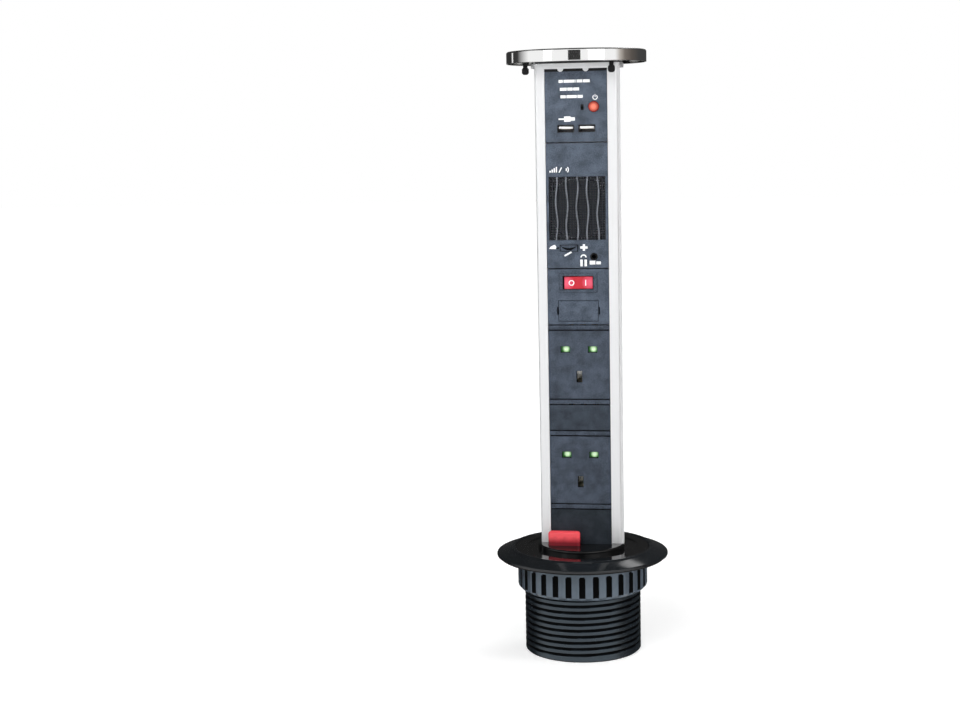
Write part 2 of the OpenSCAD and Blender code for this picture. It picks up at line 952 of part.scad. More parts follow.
module speaker_faceplate() {
    seat = 2 * (mesh_edge + mesh_gap);
    color("#3c424e") {
        difference() {
            faceplate(speaker_z, usb_z);
            panel_box(0, grille_z, grille_w, grille_h, -through, through);
            panel_box(0, grille_z, grille_w + seat, grille_h + seat, lip_back, through);
            panel_box(
                volume_x, volume_z, volume_w + 2 * volume_gap, volume_h + 2 * slide_gap, -through, through
            );
            panel_rod(jack_x, jack_z, jack_r + jack_sink, -through, through);
            panel_rod(mic_x, volume_z, mic_r, -through, through);
        }
        for (i = [0:grille_ribs - 1]) grille_rib((i - (grille_ribs - 1) / 2) * rib_pitch);
    }
}

module grille_mesh() {
    color("#1d1f24") panel_box(
        0, grille_z, grille_w + 2 * mesh_edge, grille_h + 2 * mesh_edge, lip_back, lip_back + mesh_t
    );
}

// Turns a half section, drawn as radius and depth, about the speaker's axis
module speaker_turned(section) {
    translate([0, speaker_front, grille_z]) rotate([-90, 0, 0]) rotate_extrude() polygon(section);
}

module speaker_frame() {
    inner = speaker_r - frame_rim_w;
    color("#2b2d31") speaker_turned([
        [inner, 0],
        [speaker_r, 0],
        [speaker_r, frame_rim_t],
        [inner + bevel, frame_rim_t],
        [basket_r, basket_deep - frame_rim_w],
        [basket_r, basket_deep],
        [basket_hole, basket_deep],
        [basket_hole, basket_deep - frame_rim_t],
        [basket_r - basket_t, basket_deep - frame_rim_t],
        [inner - bevel, frame_rim_t],
        [inner, frame_rim_t]
    ]);
}

module speaker_cone() {
    dome_r = voice_r / 2;
    color("#3b3a38") speaker_turned([
        [0, dome_deep],
        [dome_r, dome_deep + cone_t],
        [voice_r, voice_deep],
        [surround_r, cone_t],
        [cone_r, fit_gap],
        [cone_r, cone_t],
        [surround_r, 2 * cone_t],
        [voice_r + fit_gap, voice_deep + cone_t],
        [voice_r - bevel, voice_end],
        [voice_r - cone_t, voice_end],
        [voice_r - cone_t, voice_deep + cone_t],
        [dome_r, dome_deep + 2 * cone_t],
        [0, dome_deep + cone_t]
    ]);
}

module speaker_magnet() {
    back = speaker_front + basket_deep;
    color("#5c5f66") panel_rod(0, grille_z, magnet_r, back, back + magnet_t);
}

module amplifier_board() {
    color("#2f6b46") span(
        [-board_half, board_y, amplifier_low], [board_half, board_back, amplifier_low + amplifier_h]
    );
}

module volume_key() {
    flange_y = base_back + volume_proud;
    color("#23262d") {
        panel_box(volume_x, volume_z, volume_w, volume_h, face_y - volume_proud, base_back);
        panel_box(
            volume_x, volume_z, volume_w - 2 * volume_stem_inset, volume_h - volume_stem_inset,
            base_back - cut, flange_y + fit_gap
        );
        panel_box(
            volume_x, volume_z, volume_w + 2 * volume_flange, volume_h,
            flange_y, flange_y + volume_flange_t
        );
    }
}

module volume_switch() {
    color("#c9c6bb") panel_box(
        volume_x, volume_z, volume_body_w, volume_body_h, volume_body_front, board_y
    );
}

module headphone_jack() {
    mouth = face_y + jack_sink;
    color("#1a1b1e") difference() {
        union() {
            panel_rod(jack_x, jack_z, jack_r, mouth, 0);
            panel_box(jack_x, jack_z, jack_body_w, jack_body_h, -cut, board_y);
        }
        panel_rod(jack_x, jack_z, jack_bore, face_y - cut, mouth + jack_depth);
    }
}

// Switch and fuse

module switch_faceplate() {
    recess = face_y + fuse_cover_t + seat_gap;
    color("#3c424e") difference() {
        faceplate(switch_z, speaker_z);
        panel_box(0, rocker_z, case_w + 2 * fit_gap, case_h + 2 * fit_gap, -through, through);
        panel_box(0, fuse_z, fuse_cover_w + bevel, fuse_cover_h + bevel, -through, recess);
        panel_box(0, fuse_z, fuse_body_w + 2 * slide_gap, fuse_body_h + 2 * slide_gap, -through, through);
        // finger notches beside the fuse cover
        for (side = [-1, 1])
            panel_box(side * fuse_cover_w / 2, fuse_z, fuse_notch_w, fuse_notch_h, -through, recess);
    }
}

module rocker_case() {
    color("#191b1f") difference() {
        union() {
            panel_box(0, rocker_z, bezel_w, bezel_h, face_y - bezel_proud, face_y);
            panel_box(0, rocker_z, case_w, case_h, face_y - seat_gap, case_back);
        }
        panel_box(
            0, rocker_z, rocker_w + 2 * rocker_side_gap, rocker_h + 2 * slide_gap,
            -through, rocker_pocket_back
        );
        translate([0, rocker_pivot_y, rocker_z])
            cylinder(
                r = rocker_pin_r + rocker_pin_gap, h = rocker_h + 2 * (cut + rocker_pin_gap), center = true
            );
    }
}

module rocker() {
    half = rocker_w / 2;
    color("#d0434f") translate([0, rocker_pivot_y, rocker_z]) rotate(rocker_tilt) {
        translate([0, 0, -rocker_h / 2]) linear_extrude(rocker_h) polygon([
            [-half, -rocker_edge],
            [0, -rocker_dip],
            [half, -rocker_edge],
            [half, -rocker_heel],
            [rocker_back_half, rocker_back],
            [-rocker_back_half, rocker_back],
            [-half, -rocker_heel]
        ]);
        cylinder(r = rocker_pin_r, h = rocker_h + 2 * cut, center = true);
    }
}

module fuse_carrier() {
    cover_back = face_y + fuse_cover_t;
    color("#343a45") {
        panel_box(0, fuse_z, fuse_cover_w, fuse_cover_h, face_y - fuse_cover_proud, cover_back);
        panel_box(0, fuse_z, fuse_body_w, fuse_body_h, cover_back - seat_gap, fuse_body_back);
        for (side = [-1, 1])
            panel_box(
                side * (fuse_body_w - fuse_arm_t) / 2, fuse_z, fuse_arm_t, fuse_body_h,
                fuse_body_back - cut, fuse_arm_back
            );
    }
}

module fuse() {
    color("#efe9dc") translate([0, fuse_y, fuse_z]) rotate([0, 90, 0])
        cylinder(r = fuse_r, h = fuse_len, center = true);
}

module fuse_holder() {
    color("#202226") difference() {
        panel_box(
            0, fuse_z, fuse_body_w + 2 * holder_wall, fuse_body_h + 2 * holder_wall, base_back, holder_back
        );
        panel_box(
            0, fuse_z, fuse_body_w + 2 * slide_gap, fuse_body_h + 2 * slide_gap, -through, holder_floor
        );
    }
}

module fuse_clips() {
    color("#c9a45a") for (side = [-1, 1]) {
        for (up = [-1, 1])
            panel_box(
                side * fuse_clip_x, fuse_z + up * fuse_clip_half, fuse_clip_w, fuse_clip_leaf,
                0, holder_floor
            );
        panel_box(
            side * fuse_clip_x, fuse_z, fuse_clip_w, 2 * fuse_clip_half + fuse_clip_leaf,
            holder_floor - fuse_clip_root, holder_floor
        );
    }
}

// Sockets

module socket_faceplate(z0) {
    line_z = z0 + socket_h - line_z_down;
    color("#3c424e") difference() {
        union() {
            span(
                [-face_w / 2, face_y + socket_groove_d, z0 + seam],
                [face_w / 2, lip_back, z0 + socket_h - seam]
            );
            span(
                [-face_w / 2, face_y, z0 + socket_border],
                [face_w / 2, lip_back, z0 + socket_h - socket_border]
            );
            // borders above and below, each parted from the field by a groove
            for (z = [z0 + seam, z0 + socket_h - socket_border + socket_groove])
                span(
                    [-face_w / 2, face_y + socket_step, z],
                    [face_w / 2, lip_back, z + socket_border - socket_groove - seam]
                );
            span([-base_w / 2, lip_back, z0 + seam], [base_w / 2, socket_back, z0 + socket_h - seam]);
            // rails that guide the shutter, and the stop of its spring
            for (side = [-1, 1])
                panel_box(
                    side * (shutter_half + rail_gap + rail_w / 2), line_z - rail_down, rail_w, rail_h,
                    socket_back, rail_back
                );
            panel_box(0, line_z + stop_up, stop_w, stop_h, socket_back, rail_back);
        }
        for (side = [-1, 1]) panel_box(side * pin_side, line_z, line_w, line_h, -through, through);
        panel_box(0, line_z - pin_drop, earth_w, earth_h, -through, through);
    }
}

module shutter(z0) {
    line_z = z0 + socket_h - line_z_down;
    back = shutter_y + shutter_t;
    tail_low = line_z - pin_drop + earth_h / 2 + 2 * slide_gap;
    color("#8fd07a") difference() {
        union() {
            span(
                [-shutter_half, shutter_y, line_z - shutter_low],
                [shutter_half, back, line_z + shutter_high]
            );
            span(
                [-shutter_tail_half, shutter_y, tail_low],
                [shutter_tail_half, back, line_z - shutter_low + cut]
            );
        }
        for (side = [-1, 1])
            panel_box(
                side * pin_side, line_z - shutter_travel,
                line_w + 2 * shutter_window, line_h + 2 * shutter_window, -through, through
            );
    }
}

module shutter_spring(z0) {
    low = z0 + socket_h - line_z_down + shutter_high + press_gap;
    high = z0 + socket_h - line_z_down + stop_up - stop_h / 2 - 2 * press_gap;
    color("#c9ccd0") translate([0, shutter_y + shutter_t / 2, low])
        coil(shutter_coil_r, shutter_wire_r, high - low, shutter_turns);
}

module contact_block(z0) {
    line_z = z0 + socket_h - line_z_down;
    color("#dcd8cb") difference() {
        span(
            [-block_half, block_y, z0 + block_inset],
            [block_half, block_back, z0 + socket_h - block_inset]
        );
        for (side = [-1, 1])
            panel_box(side * pin_side, line_z, line_pocket[0], line_pocket[1], block_y - cut, pocket_back);
        panel_box(0, line_z - pin_drop, earth_pocket[0], earth_pocket[1], block_y - cut, pocket_back);
    }
}

// Spring clip with two leaves, open to the front
module clip(x, z, size) {
    for (side = [-1, 1])
        panel_box(x + side * (size[0] - clip_leaf) / 2, z, clip_leaf, size[1], clip_front, clip_back);
    panel_box(x, z, size[0], size[1], clip_back - clip_leaf, clip_back);
}

module contacts(z0) {
    line_z = z0 + socket_h - line_z_down;
    color("#c9a45a") {
        for (side = [-1, 1]) clip(side * pin_side, line_z, line_clip);
        clip(0, line_z - pin_drop, earth_clip);
    }
}

// Blank plates

module blank_plate(z0, z1) {
    color("#3c424e") faceplate(z0, z1);
}

// Draw one node, or all of them
collar_housing();
flange_gasket();
deck_insert();
deck_screws();
column_guide();
release_spring();
latch_spring();
clamp_washer();
lock_nut();
release_button();
latch_bolt();
column_profile();
head_plate();
head_screws();
cap_hub();
cap_disc();
cap_bumpers();
foot_cap();
foot_screws();
cord_gland();
terminal_block();
bus_bars();
usb_faceplate();
usb_shells();
usb_tongues();
charger_board();
power_switch();
power_button();
indicator_lens();
speaker_faceplate();
grille_mesh();
speaker_frame();
speaker_cone();
speaker_magnet();
amplifier_board();
volume_key();
volume_switch();
headphone_jack();
switch_faceplate();
rocker_case();
rocker();
fuse_carrier();
fuse();
fuse_holder();
fuse_clips();
socket_faceplate(socket1_z);  // socket_faceplate_upper
socket_faceplate(socket2_z);  // socket_faceplate_lower
shutter(socket1_z);  // shutter_upper
shutter(socket2_z);  // shutter_lower
shutter_spring(socket1_z);  // shutter_spring_upper
shutter_spring(socket2_z);  // shutter_spring_lower
contact_block(socket1_z);  // contact_block_upper
contact_block(socket2_z);  // contact_block_lower
contacts(socket1_z);  // contacts_upper
contacts(socket2_z);  // contacts_lower
blank_plate(spacer_z, socket1_z);  // blank_plate_middle
blank_plate(column_bottom, socket2_z);  // blank_plate_lower
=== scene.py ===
# %% [markdown]
# # Dressing a pop up desk socket
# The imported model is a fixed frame: each CAD node stands where it belongs, in metres, with +Z up and the
# sockets facing -Y. This lesson works on the looks: edges that catch light, a real thread, a perforated
# grille, prints and finishes. No size changes, so the CAD box is kept first.

# %% Load the frame
import json
import math

import bmesh
import bpy
from mathutils import Matrix, Vector


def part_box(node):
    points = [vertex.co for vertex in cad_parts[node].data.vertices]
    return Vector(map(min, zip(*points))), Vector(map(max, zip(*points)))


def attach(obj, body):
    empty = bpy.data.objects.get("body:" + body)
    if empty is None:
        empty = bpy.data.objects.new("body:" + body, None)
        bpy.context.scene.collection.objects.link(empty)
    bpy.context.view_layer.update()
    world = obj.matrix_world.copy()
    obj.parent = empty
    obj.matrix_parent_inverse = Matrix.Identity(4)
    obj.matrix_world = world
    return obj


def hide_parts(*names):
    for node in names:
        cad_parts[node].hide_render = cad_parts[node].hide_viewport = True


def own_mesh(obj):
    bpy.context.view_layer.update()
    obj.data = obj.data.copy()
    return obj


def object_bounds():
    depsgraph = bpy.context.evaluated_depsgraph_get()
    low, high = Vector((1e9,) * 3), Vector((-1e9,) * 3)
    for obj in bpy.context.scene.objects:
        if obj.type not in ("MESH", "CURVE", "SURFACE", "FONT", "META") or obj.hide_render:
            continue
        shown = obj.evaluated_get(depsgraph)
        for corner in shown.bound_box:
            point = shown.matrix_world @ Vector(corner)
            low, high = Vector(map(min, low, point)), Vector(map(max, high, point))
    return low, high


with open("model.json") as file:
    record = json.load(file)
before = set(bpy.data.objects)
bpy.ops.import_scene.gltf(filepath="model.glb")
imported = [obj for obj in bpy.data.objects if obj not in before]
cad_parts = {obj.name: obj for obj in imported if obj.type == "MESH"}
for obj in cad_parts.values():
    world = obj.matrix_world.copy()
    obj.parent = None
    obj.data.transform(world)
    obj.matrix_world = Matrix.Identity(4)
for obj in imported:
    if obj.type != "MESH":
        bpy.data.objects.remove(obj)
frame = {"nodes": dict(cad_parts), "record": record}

MM = 0.001
nodes = frame["nodes"]
record = frame["record"]
cad_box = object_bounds()
BODY_OF = {name: body for body, members in record["behaviour"]["bodies"].items() for name in members}
SLOT_OF = {part["node"]: part["material_slot"] for part in record["subparts"]}
scene = bpy.context.scene
scene.view_settings.view_transform = "Standard"
print("CAD box in mm:", [[round(v / MM, 1) for v in corner] for corner in cad_box])

# %% [markdown]
# ## The camera
# The photograph looks from a little above the collar and below the cap: the brim shows its top and the cap
# hides its own. The eye's place was fitted to the pin holes, the seams between the plates and the ends of
# the brim and cap, and it needs no lens shift.


# %% Set up the camera
def in_scene(name, data):
    made = bpy.data.objects.new(name, data)
    scene.collection.objects.link(made)
    return made


EYE_DISTANCE = 1404.2 * MM
EYE_HEIGHT = 347.4 * MM
EYE_AZIMUTH = math.radians(6.47)
LOOK_HEADING = math.radians(9.78)
LOOK_DOWN = math.radians(7.48)
LOOK_ROLL = math.radians(-1.15)
LENS_MM = 65.34
SENSOR_MM = 36.0

camera_data = bpy.data.cameras.new("photo_camera")
camera_data.lens = LENS_MM
camera_data.sensor_width = SENSOR_MM
camera = in_scene("photo_camera", camera_data)
eye = Vector((math.sin(EYE_AZIMUTH) * EYE_DISTANCE, -math.cos(EYE_AZIMUTH) * EYE_DISTANCE, EYE_HEIGHT))
turn = (
    Matrix.Rotation(LOOK_HEADING, 4, "Z")
    @ Matrix.Rotation(math.pi / 2 - LOOK_DOWN, 4, "X")
    @ Matrix.Rotation(LOOK_ROLL, 4, "Z")
)
camera.matrix_world = Matrix.Translation(eye) @ turn
scene.camera = camera
print("camera at", [round(v, 3) for v in eye], "lens", LENS_MM)

# %% [markdown]
# ## Nodes without fuss
# Every finish and every Geometry Nodes tree is built in code. One helper fills a node's inputs with plain
# values or other nodes' outputs, by name, or by number where inputs share a name. The others make a node
# and hand on its outputs, which are what the next node needs.


# %% Node helpers
def fill(tree, node, inputs):
    for key, value in inputs.items():
        if isinstance(value, bpy.types.NodeSocket):
            tree.links.new(value, node.inputs[key])
        else:
            node.inputs[key].default_value = value


def outputs_of(tree, kind, inputs=None, **options):
    made = tree.nodes.new(kind)
    for option, value in options.items():
        setattr(made, option, value)
    fill(tree, made, inputs or {})
    return made.outputs


def output(tree, kind, inputs=None, socket=0, **options):
    return outputs_of(tree, kind, inputs, **options)[socket]


def vector(tree, **parts):
    return output(tree, "ShaderNodeCombineXYZ", parts)


def frame_place(tree):
    """Each point of a finish in the frame, in metres."""
    return output(tree, "ShaderNodeTexCoord", socket="Object")


def calc(tree, operation, *values):
    return output(tree, "ShaderNodeMath", dict(enumerate(values)), operation=operation)


def product(tree, first, *others):
    for other in others:
        first = calc(tree, "MULTIPLY", first, other)
    return first


def length_of(tree, arrow):
    return output(tree, "ShaderNodeVectorMath", {0: arrow}, "Value", operation="LENGTH")


def between(tree, factor, low, high, start=0.3, end=0.7, **options):
    """Maps start to end onto low to high."""
    inputs = {"Value": factor, "From Min": start, "From Max": end, "To Min": low, "To Max": high}
    return output(tree, "ShaderNodeMapRange", inputs, **options)


# %% [markdown]
# ## Floor and background
# The photograph was cut out on white. Here the world is white where the camera or a mirror looks at it,
# and weaker where it lights the object, so that a colour renders about as it is written. The floor is pale
# and adds white of its own for the same rays, but less near the object, where the shadow falls.


# %% World
def seen_rays(tree):
    rays = outputs_of(tree, "ShaderNodeLightPath")
    seen = calc(tree, "MAXIMUM", rays["Is Camera Ray"], rays["Is Glossy Ray"])
    return calc(tree, "MAXIMUM", seen, rays["Is Transmission Ray"])


SKY_LIGHT = 0.19
scene.world = bpy.data.worlds.new("white_studio")
scene.world.use_nodes = True
sky = scene.world.node_tree
strength = between(sky, seen_rays(sky), SKY_LIGHT, 1.0, 0.0, 1.0)
fill(sky, sky.nodes["Background"], {"Color": (1, 1, 1, 1), "Strength": strength})
print("sky lights at", SKY_LIGHT)


# %% Floor
def new_finish(name, gloss=0.5, **sockets):
    """A material, its tree and its shader, whose sockets are given by name with _ for a space."""
    material = bpy.data.materials.new(name)
    material.use_nodes = True
    shader = material.node_tree.nodes["Principled BSDF"]
    for key, value in {"Specular_IOR_Level": gloss, **sockets}.items():
        shader.inputs[key.replace("_", " ")].default_value = value
    return material, material.node_tree, shader


def new_paint(name):
    """A material without a shader, its tree, and the output node that waits for one."""
    material, tree, shader = new_finish(name)
    tree.nodes.remove(shader)
    return material, tree, tree.nodes["Material Output"]


def plain_mesh(name, points, faces=()):
    mesh = bpy.data.meshes.new(name)
    mesh.from_pydata(points, [], faces)
    return mesh


SQUARE = ((-1, -1), (1, -1), (1, 1), (-1, 1))


def level_square(name, half, z):
    return plain_mesh(name, [(x * half, y * half, z) for x, y in SQUARE], [(0, 1, 2, 3)])


FLOOR_HALF = 9.0
FLOOR_GREY = (0.7, 0.7, 0.7, 1)
GLOW_NEAR, GLOW_FAR = 0.50, 0.92
GLOW_FROM, GLOW_TO = 0.08, 0.9
floor_low = cad_box[0].z
floor = in_scene("floor", level_square("floor", FLOOR_HALF, floor_low))
paint, tree, surface = new_paint("floor_white")
level = between(tree, length_of(tree, frame_place(tree)), GLOW_NEAR, GLOW_FAR, GLOW_FROM, GLOW_TO)
matt = output(tree, "ShaderNodeBsdfDiffuse", {"Color": FLOOR_GREY})
glow = output(tree, "ShaderNodeEmission", {"Strength": product(tree, seen_rays(tree), level)})
fill(tree, surface, {"Surface": output(tree, "ShaderNodeAddShader", {0: matt, 1: glow})})
floor.data.materials.append(paint)
floor.visible_glossy = False
print("floor at z", round(floor_low / MM, 2), "mm")

# %% [markdown]
# ## Lamps and soft cards
# Two wide soft lamps stand left and right of the camera, one near the top, one at the side and one behind.
# Polished steel and black plastic would mirror nothing but white, so dark cards stand round them, as a
# photographer sets them. A ring of card shades from white at the front to dark at the sides and the back.
# A small card over the camera gives the dark block in the middle of the cap, a white slit lights the cap's
# left end, and a bright card high at the back puts a gleam on the brim. Only mirrors see these cards.


# %% Lamps
def soft_lamp(name, place, aim, width, height, watts, mirrored=True):
    data = bpy.data.lights.new(name, "AREA")
    data.shape = "RECTANGLE"
    data.size = width
    data.size_y = height
    data.energy = watts
    lamp = in_scene(name, data)
    lamp.location = place
    lamp.rotation_euler = (Vector(aim) - Vector(place)).to_track_quat("-Z", "Y").to_euler()
    lamp.visible_camera = False
    lamp.visible_glossy = mirrored


AIM = (0, 0, 160 * MM)
HIGH_AIM = (0, 0, 330 * MM)
soft_lamp("left_softbox", (-1.2, -1.4, 1.0), AIM, 0.5, 1.2, 2.2)
soft_lamp("right_softbox", (1.1, -1.35, 0.9), AIM, 0.9, 1.3, 3.2)
soft_lamp("near_softbox", (-0.15, -0.55, 0.45), HIGH_AIM, 0.5, 0.26, 3.6, mirrored=False)
soft_lamp("side_softbox", (1.5, -0.25, 0.4), AIM, 0.5, 0.9, 13, mirrored=False)
soft_lamp("back_softbox", (0.5, 1.3, 1.9), AIM, 1.0, 0.8, 16, mirrored=False)


# %% Card helpers
def place_of(tree):
    return outputs_of(tree, "ShaderNodeSeparateXYZ", {0: frame_place(tree)})


def shades(tree, factor, *stops):
    ramp = tree.nodes.new("ShaderNodeValToRGB")
    fill(tree, ramp, {0: factor})
    band = ramp.color_ramp.elements
    while len(band) < len(stops):
        band.new(0.5)
    for element, (place, colour) in zip(band, stops):
        element.position = place
        element.color = (*colour, 1)
    return ramp.outputs[0]


def stand(name, mesh, stops):
    """A card that only mirrors see. Its stops are pairs of a bearing in degrees from the front, + to the
    right, and a grey or colour that it glows with."""
    paint, tree, surface = new_paint(name)
    place = place_of(tree)
    angle = calc(tree, "ARCTAN2", place["X"], product(tree, place["Y"], -1.0))
    bearing = calc(tree, "MULTIPLY_ADD", angle, 0.5 / math.pi, 0.5)
    tones = [(at / 360 + 0.5, tone if isinstance(tone, tuple) else (tone,) * 3) for at, tone in stops]
    glow = output(tree, "ShaderNodeEmission", {"Color": shades(tree, bearing, *tones)})
    fill(tree, surface, {"Surface": glow})
    mesh.materials.append(paint)
    made = in_scene(name, mesh)
    for rays in ("camera", "diffuse", "shadow", "transmission", "volume_scatter"):
        setattr(made, "visible_" + rays, False)


def card(name, start, end, radius, low, high, stops):
    """A strip of a cylinder round the object, between two bearings in degrees."""
    steps = max(8, round((end - start) / 4))
    bearings = [math.radians(start + (end - start) * i / steps) for i in range(steps + 1)]
    points = [(math.sin(b) * radius, -math.cos(b) * radius, z) for b in bearings for z in (low, high)]
    faces = [(2 * i, 2 * i + 2, 2 * i + 3, 2 * i + 1) for i in range(steps)]
    stand(name, plain_mesh(name, points, faces), stops)


def evenly(level):
    return [(-180, level), (180, level)]


# %% Soft cards
RING_STOPS = [
    (-180, 0.05), (-126, 0.03), (-104, 0.05), (-77, 1.0), (72, 1.0), (82, (0.50, 0.46, 0.42)),
    (92, (0.20, 0.175, 0.155)), (108, (0.11, 0.095, 0.085)), (130, 0.06), (180, 0.05),
]
CEILING = 2.2
card("ring_card", 72, 283, 2.5, -2.4, CEILING, RING_STOPS)
card("camera_card", -6.5, 13.3, 2.6, 0.38, 0.80, evenly(0.04))
card("slit_card", -124, -119, 2.4, 0.42, 0.62, evenly(0.95))
card("gleam_card", 152, 166, 1.6, 1.5, 2.0, evenly(3.0))
stand("ceiling_card", level_square("ceiling_card", CEILING, CEILING), evenly(0.06))

# %% [markdown]
# ## Finishes: shared parts
# Each finish is one node material on Object coordinates, which here are the frame's own metres: a grain of
# a quarter of a millimetre is a noise of scale 4000. Small helpers give every finish its grain, its bump
# and the line along its edges. Constant values sit on the shader's own sockets.


# %% Finish helpers
def grain(tree, scale, stretch=(1, 1, 1), detail=3.0, roughness=0.5):
    mapped = output(tree, "ShaderNodeMapping", {"Vector": frame_place(tree), "Scale": stretch})
    noise = {"Vector": mapped, "Scale": scale, "Detail": detail, "Roughness": roughness}
    return output(tree, "ShaderNodeTexNoise", noise)


def bump(tree, height, depth):
    return output(tree, "ShaderNodeBump", {"Height": height, "Distance": depth * MM, "Strength": 1.0})


def edge_dust_and_painted_light(tree, body, width, edge):
    """A colour along the piece's edges, width mm wide and broken up by a noise: paler edges are dust and a
    painted highlight, darker ones painted shade.
    """
    rounded = output(tree, "ShaderNodeBevel", {"Radius": width * MM}, samples=4)
    flat = output(tree, "ShaderNodeNewGeometry", socket="Normal")
    same = output(tree, "ShaderNodeVectorMath", {0: rounded, 1: flat}, "Value", operation="DOT_PRODUCT")
    line = between(tree, same, 1.0, 0.0, 0.82, 0.99)
    broken = product(tree, line, between(tree, grain(tree, 700), 0.15, 1.0))
    return output(tree, "ShaderNodeMix", {0: broken, 6: body, 7: (*edge, 1)}, 2, data_type="RGBA")


def scaled(colour, share):
    return tuple(min(1.0, c * share) for c in colour)


# %% [markdown]
# ## Moulded plastics
# The faceplates are a blue-grey charcoal with the fine spark-eroded texture of a mould. The collar and the
# deck come from a polished mould and mirror the red button, and the nut is a coarser black. All are
# dielectric: a low even colour, a grain in bump and roughness, and a line along the edges, paler on the
# blacks, partly dust and partly a painted highlight, and darker on the plates, painted shade in the seams.


# %% Plastics
def moulded(
    name, colour, roughness, grain_scale, grain_depth,
    edge=1.6, edge_w=0.35, spread=0.12, speck=0.0, **sockets
):
    """Edge is the share of the colour that its edges have: above 1 dust and a painted highlight, below 1
    painted shade. Speck is how much a fine grain shows.
    """
    material, tree, shader = new_finish(name, **sockets)
    cloudy = grain(tree, 120)
    fine = grain(tree, grain_scale * 0.6, detail=1.0)
    tone = calc(tree, "MULTIPLY_ADD", calc(tree, "SUBTRACT", fine, 0.5), speck, cloudy)
    body = shades(tree, tone, (0.25, scaled(colour, 1 - spread)), (0.75, scaled(colour, 1 + spread)))
    fill(tree, shader, {
        "Base Color": edge_dust_and_painted_light(tree, body, edge_w, scaled(colour, edge)),
        "Roughness": between(tree, cloudy, roughness * 0.85, roughness * 1.15),
        "Normal": bump(tree, grain(tree, grain_scale, detail=2.0), grain_depth),
    })
    return material


def slate(name, colour, edge=0.1, edge_w=0.9):
    """The plates' plastic in several tones: darker tones for plates lower down are painted shade, a lighter
    one for the grille's ribs is painted light, and darker edges are painted shade in the seams.
    """
    return moulded(
        name, colour, 0.5, 3200, 0.03, edge, edge_w, spread=0.42, speck=1.2,
        gloss=0.18, Specular_Tint=(0.82, 0.92, 1.0, 1),
    )


COOL = {"Specular_Tint": (0.74, 0.88, 1.0, 1)}
# Edge shares above 1 paint paler edges on the blacks: partly dust, partly a painted highlight.
PLASTICS = {
    "collar_black": ((0.0065, 0.0105, 0.0145), 0.24, 500, 0.006, dict(edge=2.0, gloss=0.9, **COOL)),
    "deck_black": ((0.004, 0.0042, 0.0045), 0.1, 260, 0.004, dict(edge=3.0, gloss=0.35)),
    "nut_black": ((0.074, 0.094, 0.120), 0.22, 1800, 0.012, dict(edge=3.0, gloss=1.0, **COOL)),
    "guide_grey": ((0.03, 0.031, 0.034), 0.5, 2400, 0.015, {}),
    "control_black": ((0.003, 0.0033, 0.0036), 0.34, 2600, 0.01, dict(gloss=0.15)),
    "block_cream": ((0.62, 0.58, 0.48), 0.5, 2000, 0.012, dict(edge=1.1)),
    "seal_rubber": ((0.006, 0.006, 0.0065), 0.72, 3000, 0.03, dict(gloss=0.25)),
    "board_green": ((0.02, 0.12, 0.045), 0.3, 900, 0.01, {}),
    "mesh_black": ((0.019, 0.022, 0.028), 0.5, 2600, 0.012, dict(gloss=0.2)),
    "cone_paper": ((0.03, 0.028, 0.026), 0.85, 1500, 0.06, {}),
    "magnet_grey": ((0.10, 0.10, 0.11), 0.6, 1400, 0.04, {}),
    "fuse_ceramic": ((0.78, 0.75, 0.68), 0.35, 1200, 0.006, dict(edge=1.05)),
}
PANEL_TONE = (0.067, 0.083, 0.112)
FINISH = {"panel_slate": slate("panel_slate", PANEL_TONE)}
for name, (*look, more) in PLASTICS.items():
    FINISH[name] = moulded(name, *look, **more)
print("plastics:", ", ".join(FINISH))

# %% [markdown]
# ## Coloured mouldings
# The rocker, the power button, the release button and the shutters carry painted light. The rocker is red
# with painted highlights towards both ends. The power button has a painted glow in its middle and a deep
# rim, painted shade. The release button is a satin red painted dark low down and bright above, painted
# shade and light. The shutters are a bright green with a painted pool of light where they face a pin hole.
# A faint emission on each is a painted glow.


# %% Coloured moulding helpers
def painted_light_spot(tree, across, up, reach):
    """A painted spot of light: 1 at the points across mm to either side and up mm high, falling to 0 at
    reach mm from them.
    """
    place = place_of(tree)
    aside = calc(tree, "SUBTRACT", calc(tree, "ABSOLUTE", place["X"]), across * MM)
    above = calc(tree, "SUBTRACT", place["Z"], up * MM)
    away = calc(tree, "SQRT", calc(tree, "ADD", product(tree, aside, aside), product(tree, above, above)))
    return between(tree, away, 1.0, 0.0, 0.0, reach * MM)


def painted_light_upwards(tree, low, high):
    """Painted shade below and light above: 0 below one height in mm and 1 above another, a little uneven.
    """
    climb = between(tree, place_of(tree)["Z"], 0.0, 1.0, low * MM, high * MM)
    return product(tree, climb, between(tree, grain(tree, 260, detail=1.0), 0.8, 1.0))


def painted_light_moulding(name, deep, bright, roughness, glow, spread, rim_w=0.5, **sockets):
    """Spread is (across, up, reach) of a painted spot of light, or (low, high) of painted shade below and
    light above. Glow is a painted emission and the rim a painted shade.
    """
    material, tree, shader = new_finish(name, Roughness=roughness, Emission_Strength=glow, **sockets)
    tone = painted_light_spot(tree, *spread) if len(spread) == 3 else painted_light_upwards(tree, *spread)
    body = shades(tree, tone, (0.2, deep), (0.8, bright))
    colour = edge_dust_and_painted_light(tree, body, rim_w, scaled(deep, 0.2))
    normal = bump(tree, grain(tree, 900, detail=1.0), 0.004)
    fill(tree, shader, {"Base Color": colour, "Emission Color": colour, "Normal": normal})
    return material


def box_mm(node):
    return [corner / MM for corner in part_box(node)]


def middle_of(node):
    low, high = box_mm(node)
    return (low + high) / 2


# %% Reds and orange
power = middle_of("power_button")
